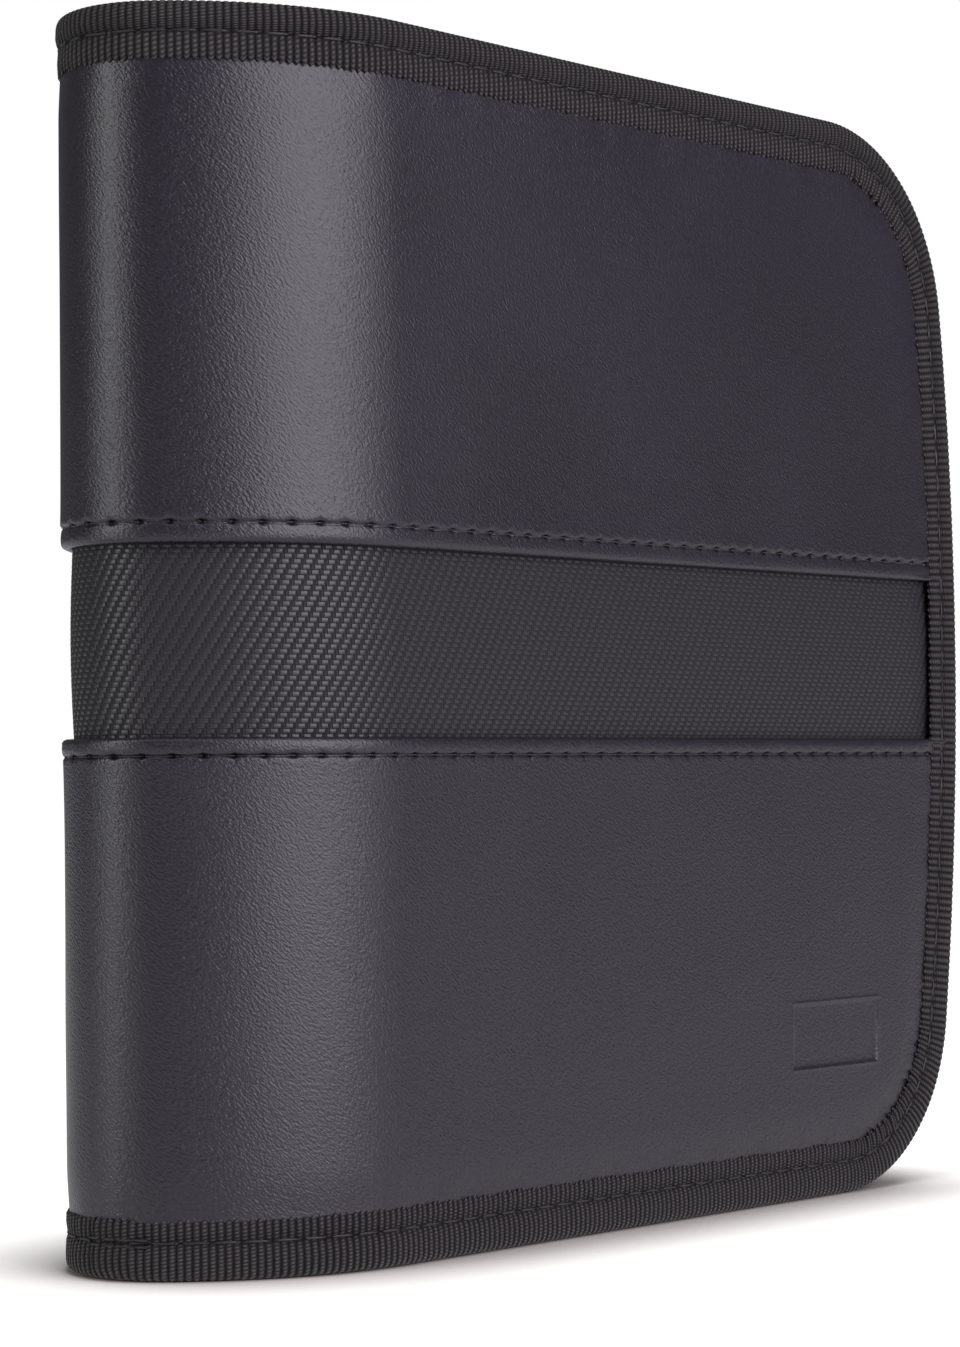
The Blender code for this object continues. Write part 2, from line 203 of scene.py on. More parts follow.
def rim_gap(length, height):
    """Distance inward from the nearest part of the rim."""
    bow = EDGE_RADIUS - np.hypot(length - EDGE_CENTRE, height - EDGE_MIDDLE)
    gap = np.minimum(np.minimum(height, CASE_HEIGHT - height), bow)
    for radius, centre, middle, way in CORNERS:
        round_it = radius - np.hypot(length - centre, height - middle)
        beyond = (length > centre) & (way * (height - middle) > 0)
        gap = np.where(beyond, np.minimum(gap, round_it), gap)
    return gap


PRESS_DEPTH = 0.38
PRESS_START = 5.0
PRESS_END = 14.0


def press(gap):
    """The sewn tape squeezes the padding: how far the face sinks near the rim."""
    share = np.clip((gap - PRESS_START) / (PRESS_END - PRESS_START), 0, 1)
    return -PRESS_DEPTH * (1 - share * share * (3 - 2 * share))


print("rim of one cover:", round(float(RIM_LENGTH), 1), "mm")

# %% [markdown]
# Most pieces here are a section carried along a path: a closed ring of points, repeated column
# after column and closed at both ends. One helper makes them all from an array of points. It
# checks which way the faces point by the sign of the volume, and it keeps the flat coordinates
# on the mesh as an attribute, so that grain and weave stay fixed to the cloth when it bends.


# %% A mesh from rings of points
def ring_faces(columns, ring):
    """Four-sided faces round each step from one ring to the next."""
    start = np.arange(columns - 1)[:, None] * ring
    here = np.arange(ring)[None, :]
    there = (here + 1) % ring
    faces = np.stack([start + here, start + there, start + ring + there, start + ring + here], -1)
    return faces.reshape(-1, 4)


def place_object(name, data):
    """A new object of the scene that shows the data."""
    made = bpy.data.objects.new(name, data)
    bpy.context.scene.collection.objects.link(made)
    return made


def ring_piece(name, points, cloth, finish, extras=None):
    """An object from points of shape (columns, ring, 3) in mm, capped at both ends."""
    columns, ring = points.shape[:2]
    flat_points = points.reshape(-1, 3) * MM
    faces = ring_faces(columns, ring)
    a, b, c, d = (flat_points[faces[:, i]] for i in range(4))
    volume = (a * np.cross(b, c)).sum() + (a * np.cross(c, d)).sum()
    caps = [np.arange(ring)[::-1], np.arange(ring) + (columns - 1) * ring]
    if volume < 0:
        faces = faces[:, ::-1]
        caps = [cap[::-1] for cap in caps]
    mesh = bpy.data.meshes.new(name)
    mesh.from_pydata(flat_points.tolist(), [], faces.tolist() + [cap.tolist() for cap in caps])
    mesh.shade_smooth()
    ends = np.array([edge.vertices[:] for edge in mesh.edges])
    first = (ends < ring).all(axis=1)
    last = (ends >= (columns - 1) * ring).all(axis=1)
    mesh.edges.foreach_set("use_edge_sharp", first | last)
    put_vectors(mesh, "cloth", cloth)
    for label, values in (extras or {}).items():
        put_vectors(mesh, label, values)
    mesh.materials.append(finish)
    return place_object(name, mesh)


def put_vectors(mesh, label, values):
    """Keep a vector or a number for each point."""
    values = np.asarray(values, np.float32)
    vector = values.ndim == 3 or values.shape[-1] == 3 and values.ndim == 2
    kind, key = ("FLOAT_VECTOR", "vector") if vector else ("FLOAT", "value")
    mesh.attributes.new(label, kind, "POINT").data.foreach_set(key, values.ravel())


# %% [markdown]
# Each material is a small tree of nodes. Two helpers keep them short: one adds a node and fills
# its sockets, the other adds a Math node and returns its result. The same helpers serve the
# Geometry Nodes trees further down, because both kinds of tree are built the same way.


# %% Helpers for node trees
def node(tree, kind, sockets=None, **settings):
    """Add a node, set what it holds, and link or fill its sockets."""
    made = tree.nodes.new(kind)
    for key, value in settings.items():
        setattr(made, key, value)
    for key, value in (sockets or {}).items():
        if isinstance(value, bpy.types.NodeSocket):
            tree.links.new(value, made.inputs[key])
        else:
            made.inputs[key].default_value = value
    return made


def calc(tree, operation, *values):
    """A Math node's result."""
    made = tree.nodes.new("ShaderNodeMath")
    made.operation = operation
    for socket, value in zip(made.inputs, values):
        if isinstance(value, bpy.types.NodeSocket):
            tree.links.new(value, socket)
        else:
            socket.default_value = value
    return made.outputs[0]


def new_finish(name, roughness, **constants):
    """A material with a Principled shader, its constants set on the shader's own sockets."""
    made = bpy.data.materials.new(name)
    made.use_nodes = True
    tree = made.node_tree
    shader = tree.nodes["Principled BSDF"]
    shader.inputs["Roughness"].default_value = roughness
    for label, value in constants.items():
        shader.inputs[label.replace("_", " ")].default_value = value
    return made, tree, shader


def cloth_place(tree):
    """The flat coordinates that a mesh carries, in millimetres."""
    return node(tree, "ShaderNodeAttribute", attribute_name="cloth").outputs["Vector"]


def flat_parts(tree):
    """Those coordinates one by one: distance along the cloth, distance across it, stand."""
    return node(tree, "ShaderNodeSeparateXYZ", {"Vector": cloth_place(tree)}).outputs


def noise(tree, place, scale, detail=2.0):
    """Noise between 0 and 1 at a scale in cells a millimetre."""
    return node(tree, "ShaderNodeTexNoise", {"Vector": place, "Scale": scale, "Detail": detail}
                ).outputs["Fac"]


def two_tones(tree, shader, share, dark, light):
    """Mix two colours by a share and give them to the shader."""
    mix = node(tree, "ShaderNodeMix", data_type="RGBA")
    mix.inputs[6].default_value = (*dark, 1.0)
    mix.inputs[7].default_value = (*light, 1.0)
    tree.links.new(share, mix.inputs[0])
    tree.links.new(mix.outputs[2], shader.inputs["Base Color"])


def ramp(tree, value, width):
    """0 to 1 over a width, held there beyond it."""
    share = calc(tree, "DIVIDE", value, width)
    return calc(tree, "MINIMUM", calc(tree, "MAXIMUM", share, 0.0), 1.0)


def relief(tree, shader, height, depth, strength=1.0):
    """Bump of a depth in millimetres."""
    bump = node(tree, "ShaderNodeBump",
                {"Height": height, "Distance": depth * MM, "Strength": strength})
    tree.links.new(bump.outputs["Normal"], shader.inputs["Normal"])


# %% [markdown]
# The skin is coated cloth with a fine grain: short creases under half a millimetre apart, which
# lean down to the right. Noise in stretched coordinates gives them, and a second, finer noise
# breaks them up. It is charcoal with a violet cast whose tone varies slowly at random, and it is
# painted a little paler where the grain stands up and darker in its creases, as painted shade.


# %% Pebbled skin
CREASE_LEAN = math.radians(-42)
CREASE_LENGTH = 0.62
CREASE_WIDTH = 0.31


def make_skin():
    made, tree, shader = new_finish("pebbled_skin", 0.33, Specular_IOR_Level=0.55)
    place = cloth_place(tree)
    leaning = node(tree, "ShaderNodeMapping",
                   {"Vector": place, "Rotation": (0.0, 0.0, CREASE_LEAN),
                    "Scale": (CREASE_LENGTH, CREASE_WIDTH, 1.0)}, vector_type="TEXTURE")
    creases = noise(tree, leaning.outputs[0], scale=1.0, detail=1.5)
    fine = noise(tree, place, scale=3.6, detail=1.0)
    grain = calc(tree, "MULTIPLY_ADD", fine, 0.45, creases)
    relief(tree, shader, grain, depth=0.095)
    broad = noise(tree, place, scale=0.035)
    # Painted shade: the grain's creases are painted darker than its tops.
    raised = ramp(tree, calc(tree, "SUBTRACT", grain, 0.50), width=0.45)
    share = calc(tree, "MULTIPLY_ADD", broad, 0.4, calc(tree, "MULTIPLY", raised, 0.8))
    two_tones(tree, shader, share, dark=(0.0040, 0.0029, 0.0060), light=(0.0190, 0.0146, 0.0262))
    rough = calc(tree, "MULTIPLY_ADD", broad, 0.08, 0.30)
    tree.links.new(rough, shader.inputs["Roughness"])
    return made


SKIN_FINISH = make_skin()
print("material:", SKIN_FINISH.name)

# %% [markdown]
# The band and the tape are woven, and their relief is real geometry further down. The material
# adds fine strands of yarn and paints shade and light on the weave: darker between the threads,
# paler on top. The band is a twill: in each row the yarn floats over the surface for more than
# half of a repeat, and the row above starts a quarter of a repeat further along, which draws
# steep diagonals. One function holds that formula, and both the material and the Geometry Nodes
# tree call it, so that the painted shade and the relief agree. The tree for the tape leaves a
# value of 0 to 1 on each point, called crest, and the tape is painted darker where it is low, as
# shade in the grooves and along the seam.


# %% Woven finishes
TWILL_REPEAT = 1.74
TWILL_ROW = 0.69
TWILL_STEP = TWILL_REPEAT / 4
FLOAT_SHARE = 0.66
SLOT_END = 0.80
TWILL_HEIGHT = 0.09
BEAD_PITCH = 0.48


def twill_crest(tree, place, repeat, row, step):
    """Height of the weave: a flat-topped float, a slot, then the yarn that passes under."""
    parts = node(tree, "ShaderNodeSeparateXYZ", {"Vector": place})
    up = calc(tree, "DIVIDE", parts.outputs[1], row)
    line = calc(tree, "FLOOR", up)
    across = calc(tree, "SUBTRACT", parts.outputs[0], calc(tree, "MULTIPLY", line, step))
    along = calc(tree, "FRACT", calc(tree, "DIVIDE", across, repeat))
    to_end = calc(tree, "SUBTRACT", FLOAT_SHARE, along)
    over = ramp(tree, calc(tree, "MINIMUM", along, to_end), width=0.07)
    past_slot = calc(tree, "SUBTRACT", along, SLOT_END)
    to_next = calc(tree, "SUBTRACT", 1.0, along)
    risen = ramp(tree, calc(tree, "MINIMUM", past_slot, to_next), width=0.06)
    under = calc(tree, "MULTIPLY", risen, 0.3)
    side = calc(tree, "SINE", calc(tree, "MULTIPLY", calc(tree, "FRACT", up), math.pi))
    edge = calc(tree, "POWER", calc(tree, "MAXIMUM", side, 0.0), 0.25)
    return calc(tree, "MULTIPLY", calc(tree, "MAXIMUM", over, under), edge)


def make_twill():
    made, tree, shader = new_finish("twill_band", 0.40, Specular_IOR_Level=0.5)
    place = cloth_place(tree)
    strands = node(tree, "ShaderNodeMapping", {"Vector": place, "Scale": (0.5, 9.0, 1.0)})
    yarn = noise(tree, strands.outputs[0], scale=1.0)
    crest = twill_crest(tree, place, TWILL_REPEAT, TWILL_ROW, TWILL_STEP)
    relief(tree, shader, calc(tree, "MULTIPLY_ADD", yarn, 0.08, crest), depth=0.13)
    tree.links.new(calc(tree, "MULTIPLY_ADD", crest, -0.49, 0.83), shader.inputs["Roughness"])
    # Painted shade and light: slots and under-yarn near black, float tops paler; strands vary at
    # random.
    share = calc(tree, "MULTIPLY", crest, calc(tree, "MULTIPLY_ADD", yarn, 0.5, 0.7))
    two_tones(tree, shader, share, dark=(0.0003, 0.0002, 0.0004), light=(0.0215, 0.0185, 0.0245))
    return made


def make_tape():
    made, tree, shader = new_finish("ribbed_tape", 0.46, Specular_IOR_Level=0.3)
    parts = flat_parts(tree)
    turns = calc(tree, "DIVIDE", parts[0], RIB_PITCH)
    rib = calc(tree, "ROUND", turns)
    slant = calc(tree, "MULTIPLY", calc(tree, "SUBTRACT", turns, rib), 0.35)
    across = calc(tree, "MULTIPLY_ADD", rib, 0.3, calc(tree, "DIVIDE", parts[1], BEAD_PITCH))
    phase = calc(tree, "MULTIPLY", calc(tree, "ADD", across, slant), math.pi)
    bead = calc(tree, "ABSOLUTE", calc(tree, "SINE", phase))
    wave = calc(tree, "COSINE", calc(tree, "MULTIPLY", turns, 2 * math.pi))
    ridge = calc(tree, "POWER", calc(tree, "MULTIPLY_ADD", wave, 0.5, 0.5), 0.7)
    strands = noise(tree, cloth_place(tree), scale=5.0)
    lumps = calc(tree, "MULTIPLY", ridge, calc(tree, "MULTIPLY_ADD", strands, 0.4, bead))
    relief(tree, shader, lumps, depth=0.26)
    # Painted shade and light: paler on rib and bead tops, near black in the grooves, and darker
    # along the seam through the crest attribute.
    top = calc(tree, "MULTIPLY_ADD", bead, 0.85, 0.15)
    tree.links.new(calc(tree, "MULTIPLY_ADD", ridge, -0.5, 0.9), shader.inputs["Roughness"])
    share = calc(tree, "MULTIPLY", ridge, calc(tree, "MULTIPLY_ADD", strands, 0.4, top))
    crest = node(tree, "ShaderNodeAttribute", attribute_name="crest").outputs["Fac"]
    two_tones(tree, shader, calc(tree, "MULTIPLY", share, crest),
              dark=(0.0005, 0.0004, 0.0005), light=(0.072, 0.064, 0.066))
    return made


TWILL_FINISH = make_twill()
TAPE_FINISH = make_tape()
print("materials:", TWILL_FINISH.name, TAPE_FINISH.name)

# %% [markdown]
# The rest of the finishes are seen only when the case is open, or inside its wall: thread, black
# lining cloth with a fine plain weave, pale non-woven leaves with pressed dots, clear film, foam
# and board. Each gets its own small pattern, at the real scale. The thread and the lining are
# painted darker in the hollows of their twist and weave, as painted shade.


# %% Thread, lining, leaf, film, foam and board
THREAD_TWIST = 9.0
LINING_WEAVE = 11.0


def make_thread():
    made, tree, shader = new_finish("seam_thread", 0.42)
    parts = flat_parts(tree)
    slanting = calc(tree, "ADD", parts[0], calc(tree, "MULTIPLY", parts[1], 1.5))
    turn = calc(tree, "MULTIPLY", slanting, THREAD_TWIST)
    twist = calc(tree, "ABSOLUTE", calc(tree, "SINE", turn))
    relief(tree, shader, twist, depth=0.05, strength=0.8)
    # Painted shade: darker in the grooves of the twist, paler on its strands.
    two_tones(tree, shader, twist, dark=(0.002, 0.002, 0.003), light=(0.012, 0.011, 0.013))
    return made


def make_lining():
    made, tree, shader = new_finish("lining_cloth", 0.78)
    parts = flat_parts(tree)
    warp, weft = (calc(tree, "SINE", calc(tree, "MULTIPLY", part, LINING_WEAVE))
                  for part in parts[:2])
    weave = calc(tree, "MULTIPLY_ADD", calc(tree, "MULTIPLY", warp, weft), 0.5, 0.5)
    relief(tree, shader, weave, depth=0.05, strength=0.7)
    # Half painted shade, darker in the hollows of the weave; half the cloth's own uneven tone.
    share = calc(tree, "MULTIPLY_ADD", noise(tree, cloth_place(tree), scale=0.08), 0.5,
                 calc(tree, "MULTIPLY", weave, 0.5))
    two_tones(tree, shader, share, dark=(0.010, 0.010, 0.012), light=(0.030, 0.030, 0.034))
    return made


def make_leaf():
    made, tree, shader = new_finish("pale_non_woven", 0.9)
    place = cloth_place(tree)
    dots = node(tree, "ShaderNodeTexVoronoi", {"Vector": place, "Scale": 0.9, "Randomness": 0.15})
    pressed = calc(tree, "SMOOTH_MIN", dots.outputs["Distance"], 0.35, 0.2)
    fibres = noise(tree, place, scale=2.4, detail=4.0)
    lumps = calc(tree, "MULTIPLY_ADD", fibres, 0.3, pressed)
    relief(tree, shader, lumps, depth=0.12, strength=0.8)
    two_tones(tree, shader, fibres, dark=(0.60, 0.61, 0.62), light=(0.80, 0.81, 0.82))
    return made


def make_film():
    made, tree, shader = new_finish("clear_film", 0.14, Alpha=0.28)
    ripple = noise(tree, cloth_place(tree), scale=0.06)
    relief(tree, shader, ripple, depth=0.5, strength=0.5)
    two_tones(tree, shader, ripple, dark=(0.82, 0.85, 0.88), light=(0.92, 0.94, 0.96))
    return made


def make_block(name, roughness, scale, dark, light):
    """Foam or board, on Object coordinates because these solids carry no flat ones."""
    made, tree, shader = new_finish(name, roughness)
    place = node(tree, "ShaderNodeTexCoord").outputs["Object"]
    grain = noise(tree, place, scale / MM, detail=3.0)
    relief(tree, shader, grain, depth=0.1, strength=0.6)
    two_tones(tree, shader, grain, dark, light)
    return made


THREAD_FINISH = make_thread()
LINING_FINISH = make_lining()
LEAF_FINISH = make_leaf()
FILM_FINISH = make_film()
FOAM_FINISH = make_block("closed_cell_foam", 0.95, 1.2, (0.24, 0.24, 0.25), (0.36, 0.36, 0.37))
BOARD_FINISH = make_block("pressed_board", 0.7, 0.4, (0.16, 0.15, 0.14), (0.26, 0.25, 0.23))
STRIP_FINISH = make_block("strip_cloth", 0.8, 1.5, (0.012, 0.012, 0.014), (0.030, 0.030, 0.034))
print("materials in all:", len(bpy.data.materials))

# %% [markdown]
# A piece of the wall bends when its cover opens. Each sheet is therefore made in two halves that
# meet at the middle of the spine. The bend starts at the middle of the spine and ends where the
# flat cover starts; these two points are worked out here, but no half is made to bend. The helper
# only sets a finished half in place and hides the solids it stands in for.

# %% The ends of the bend, and a half in place of its solids
MID_SPINE = Vector(wall(FRONT, 0.0, 0.0, 0.0)) * MM
BEND_END = {side: Vector(wall(side, FLAT_START, 0.0, 0.0)) * MM for side in SIDES}


def bend(piece, side, slot, *replaced):
    """Set a finished half in place and hide the solids it stands in for."""
    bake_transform(piece)
    if replaced:
        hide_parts(*replaced)
    return piece


# %% [markdown]
# A skin is a panel of coated cloth whose edge at the band is turned under and top-stitched. The
# turned edge is a soft roll, the row of stitches sinks into a groove with a needle hole at each
# end of a stitch, and the padding swells again beyond it. A flat grid with a bump map would miss
# the roll's outline, so the roll, groove and holes are points of the section itself. The points
# are close together where there is something to show, and far apart elsewhere.

# %% Sizes of the skins
SKIN = 1.2
RIM_INSET = 0.85
BAND_BOTTOM = 70.0
BAND_TOP = 95.0
LIP_RADIUS = 0.8
STITCH_PITCH = 4.0
SEAM_WIDTH = 0.22
HOLE_WIDTH = 0.36
STRETCH_FROM = 120.0
SWELL_FADE = 5.5
HOLE_DEPTH = 0.55
SLACK_BROAD = 0.10
SLACK_SMALL = 0.025
PUCKER_HEIGHT = 0.07
NEAR_DOUBLE = 0.06
UPPER = {"seam": 2.8, "lip": 0.10, "strip": 0.02, "swell": 0.22, "groove": 0.42}
LOWER = {"seam": 2.4, "lip": 0.20, "strip": 0.16, "swell": 0.16, "groove": 0.46}
COLUMN_PATTERN = np.array([0.0, 0.25, 0.5, 1.0, 2.0, 3.0, 3.5, 3.75])


def bell(value, width):
    """A smooth bump of height 1 and a given half width."""
    return np.exp(-((value / width) ** 2))


def skin_relief(length, from_lip, shape):
    """How far the skin's face stands out, from its distance to the lip's edge."""
    seam = from_lip - shape["seam"]
    before = shape["lip"] + (shape["strip"] - shape["lip"]) * np.clip(from_lip / 1.6 - 0.5, 0, 1)
    before = before + 0.10 * bell(from_lip - 0.55 * shape["seam"], 0.8)
    after = shape["swell"] * np.exp(-np.maximum(seam, 0.0) / SWELL_FADE)
    rise = np.where(seam < 0, before, after)
    near_hole = (length / STITCH_PITCH + 0.5) % 1.0 - 0.5
    hole = bell(near_hole * STITCH_PITCH, HOLE_WIDTH) * bell(seam, HOLE_WIDTH)
    pull = 0.75 + 0.25 * np.cos(2 * math.pi * length / STITCH_PITCH)
    return rise - shape["groove"] * pull * bell(seam, SEAM_WIDTH) - HOLE_DEPTH * hole


def slack(length, height):
    """The gentle unevenness of stuffed cloth: no two places are quite flat."""
    broad = np.sin(length / 23.0 + height / 41.0) * np.sin(height / 19.0 - length / 57.0 + 1.0)
    small = np.sin(length / 7.3 + 1.3 * np.sin(height / 11.0)) * np.sin(height / 6.1 + length / 31)
    return SLACK_BROAD * broad + SLACK_SMALL * small


def puckers(length, height):
    """Small gathers in the skin where the tape is sewn over it."""
    gap = rim_gap(length, height)
    along = np.sin(length / 1.9 + 1.7 * np.sin(length / 7.7)) * np.sin(length / 5.3 + 0.4)
    up_edge = np.sin(height / 1.9 + 1.5 * np.sin(height / 8.9)) * np.sin(height / 4.7 + 1.1)
    edge_share = np.clip((length - RIM_END + 34.0) / 12.0, 0, 1)
    wave = along * (1 - edge_share) + up_edge * edge_share
    return PUCKER_HEIGHT * wave * bell(gap - 7.8, 3.0)


# %% [markdown]
# The small panel near the lower corner of the front cover is pressed into the skin. The real
# mark is left out: here it is a plain sunk field with a narrow raised line at its border. The
# photograph gives its place, 88 to 111 mm along the flat cover.

# %% The plain pressed panel
PANEL_LEFT = FLAT_START + 88.3
PANEL_RIGHT = FLAT_START + 111.1
PANEL_LOW = 19.8
PANEL_HIGH = 29.8
PANEL_DEPTH = 0.24
PANEL_LINE = 0.20
PANEL_SLOPE = 0.3
EDGE_STEPS = np.array([-0.6, -0.35, -0.2, -0.05, 0.1, 0.25, 0.4, 0.65])


def panel_relief(length, height):
    """A sunk field with a raised line inside its border."""
    outside = np.maximum(np.abs(length - (PANEL_LEFT + PANEL_RIGHT) / 2)
                         - (PANEL_RIGHT - PANEL_LEFT) / 2,
                         np.abs(height - (PANEL_LOW + PANEL_HIGH) / 2)
                         - (PANEL_HIGH - PANEL_LOW) / 2)
    sunk = np.clip(0.5 - outside / PANEL_SLOPE, 0.0, 1.0)
    return -PANEL_DEPTH * sunk + PANEL_LINE * bell(outside + 0.05, 0.22)


# %% [markdown]
# Now the panels themselves. Columns run up and down at fixed lengths, except near the opening
# edge, where they are drawn in to follow the rim. That part lies under the tape, so nobody sees
# the squeeze. The inner face has few points, because the foam hides it.


# %% Build the four skins
def spread_columns(columns, heights, inset):
    """Lengths of shape (columns, rows) that end on the rim."""
    edge = edge_length(heights, inset)[None, :]
    columns = columns[:, None]
    share = (columns - STRETCH_FROM) / (columns[-1] - STRETCH_FROM)
    return np.where(columns <= STRETCH_FROM, columns,
                    STRETCH_FROM + share * (edge - STRETCH_FROM))


def thinned(values):
    """Sorted values, without any that nearly coincide."""
    values = np.unique(np.round(values, 3))
    return values[np.concatenate([[True], np.diff(values) > NEAR_DOUBLE])]


def skin_columns(side, lower):
    repeats = np.arange(0.0, RIM_END - STITCH_PITCH, STITCH_PITCH)
    columns = (repeats[:, None] + COLUMN_PATTERN[None, :]).ravel()
    if lower and side == FRONT:
        columns = np.concatenate([columns, PANEL_LEFT + EDGE_STEPS, PANEL_RIGHT - EDGE_STEPS])
    return np.append(thinned(columns[columns < RIM_END - 3.0]), RIM_END - RIM_INSET)


def skin_rows(edge, rim_height, seam, panel):
    """Distances from the lip, close together near the seam and near the rim."""
    reach = abs(rim_height - edge)
    rows = [np.arange(LIP_RADIUS, 4.0, 0.35), seam + np.arange(-0.5, 0.55, 0.1),
            np.arange(4.2, 7.0, 0.5), np.arange(7.0, 15.0, 1.0),
            np.arange(15.0, reach - 14.0, 1.6), np.linspace(reach - 14.0, reach, 14)]
    if panel:
        rows += [(edge - PANEL_LOW) + EDGE_STEPS, (edge - PANEL_HIGH) + EDGE_STEPS]
    return thinned(np.concatenate(rows))


def make_skin_half(name, side, edge, way, shape):
    """A skin from the lip at the band, outward to the rim."""
    lower = way < 0
    rim_height = RIM_INSET if lower else CASE_HEIGHT - RIM_INSET
    rows = skin_rows(edge, rim_height, shape["seam"], lower and side == FRONT)
    round_lip = np.linspace(QUARTER, 3 * QUARTER, 8)[1:-1]
    inner_rows = np.linspace(LIP_RADIUS, rows[-1], 9)
    lip_centre = skin_relief(2.0, LIP_RADIUS, shape) - LIP_RADIUS
    from_lip = np.concatenate([rows[::-1], LIP_RADIUS + LIP_RADIUS * np.cos(round_lip),
                               inner_rows])
    heights = edge + way * from_lip
    lengths = spread_columns(skin_columns(side, lower), heights, RIM_INSET)
    spots = from_lip[None, :] + 0 * lengths
    stand = skin_relief(lengths, spots, shape) + slack(side * lengths, heights[None, :])
    if lower and side == FRONT:
        stand += panel_relief(lengths, heights[None, :])
    stand += press(rim_gap(lengths, heights[None, :]))
    stand += puckers(lengths, heights[None, :])
    count = len(rows)
    rolled = lip_centre + LIP_RADIUS * np.sin(round_lip)
    stand[:, count:count + len(rolled)] = rolled[None, :]
    stand[:, count + len(rolled):] = -SKIN
    return ring_piece(name, *lay(side, lengths, heights, stand), SKIN_FINISH)


SKINS = {}
for side, label in SIDES.items():
    SKINS["upper", side] = make_skin_half(f"upper_skin_{label}_half", side, BAND_TOP, 1, UPPER)
    SKINS["lower", side] = make_skin_half(f"lower_skin_{label}_half", side, BAND_BOTTOM, -1, LOWER)
for (level, side), piece in SKINS.items():
    bend(piece, side, "skin", f"{SIDES[side]}_{level}_skin", f"spine_{level}_skin")
    print(piece.name, "faces:", len(piece.data.polygons))

# %% [markdown]
# A bump map alone would show the weave from the front but not along the edge, so a Geometry
# Nodes tree lifts a fine grid by the same formula. Its inputs are the sizes of the weave.


# %% Trees that lift a weave
def start_tree(name, inputs):
    """A Geometry Nodes tree with a geometry socket and named numbers."""
    tree = bpy.data.node_groups.new(name, "GeometryNodeTree")
    tree.interface.new_socket("Geometry", in_out="INPUT", socket_type="NodeSocketGeometry")
    for label, value in inputs.items():
        socket = tree.interface.new_socket(label, in_out="INPUT", socket_type="NodeSocketFloat")
        socket.default_value = value
    tree.interface.new_socket("Geometry", in_out="OUTPUT", socket_type="NodeSocketGeometry")
    return tree, tree.nodes.new("NodeGroupInput").outputs


def end_tree(tree, geometry, finish):
    """Realize what is instanced, give it the material and hand it out."""
    real = node(tree, "GeometryNodeRealizeInstances", {"Geometry": geometry})
    done = node(tree, "GeometryNodeSetMaterial",
                {"Geometry": real.outputs[0], "Material": finish})
    out = tree.nodes.new("NodeGroupOutput")
    tree.links.new(done.outputs[0], out.inputs[0])


def named(tree, label, kind):
    found = node(tree, "GeometryNodeInputNamedAttribute", {"Name": label}, data_type=kind)
    return next(s for s in found.outputs if s.enabled and s.name == "Attribute")


def lift(tree, geometry, crest, height):
    """Move each point along its rise by the crest times the height, and keep the crest."""
    amount = calc(tree, "MULTIPLY", crest, height)
    move = node(tree, "ShaderNodeVectorMath", {0: named(tree, "rise", "FLOAT_VECTOR"),
                                               "Scale": amount}, operation="SCALE")
    moved = node(tree, "GeometryNodeSetPosition", {"Geometry": geometry,
                                                   "Offset": move.outputs[0]})
    kept = node(tree, "GeometryNodeStoreNamedAttribute", {"Geometry": moved.outputs[0],
                                                          "Name": "crest", "Value": crest},
                data_type="FLOAT", domain="POINT")
    return kept.outputs[0]


def twill_tree():
    """Floats of yarn, each row a step further along than the one below."""
    tree, given = start_tree("Twill", {"Repeat": TWILL_REPEAT, "Row": TWILL_ROW,
                                       "Step": TWILL_STEP, "Weave Height": TWILL_HEIGHT * MM})
    crest = twill_crest(tree, named(tree, "cloth", "FLOAT_VECTOR"), given["Repeat"],
                        given["Row"], given["Step"])
    end_tree(tree, lift(tree, given["Geometry"], crest, given["Weave Height"]), TWILL_FINISH)
    return tree


def run_tree(piece, tree, **values):
    """Put a tree on a piece, set its inputs by identifier, and keep the resulting mesh."""
    modifier = piece.modifiers.new(tree.name, "NODES")
    modifier.node_group = tree
    for socket in tree.interface.items_tree:
        key = socket.name.replace(" ", "_").lower()
        if socket.in_out == "INPUT" and key in values:
            modifier[socket.identifier] = values[key]
    graph = bpy.context.evaluated_depsgraph_get()
    made = bpy.data.meshes.new_from_object(piece.evaluated_get(graph),
                                           preserve_all_data_layers=True, depsgraph=graph)
    piece.modifiers.clear()
    piece.data = made
    return piece


TWILL = twill_tree()
print("tree:", TWILL.name, "with", len(TWILL.nodes), "nodes")

# %% [markdown]
# The band's own grid is fine only where the band shows between the skins. The part under the
# skins is plain, and nobody sees it, but it keeps the band's real height of 37 mm.

# %% Build the band
BAND = 0.5
BAND_STAND = -1.45
BAND_UNDER = 6.0
BAND_BOW = 0.35


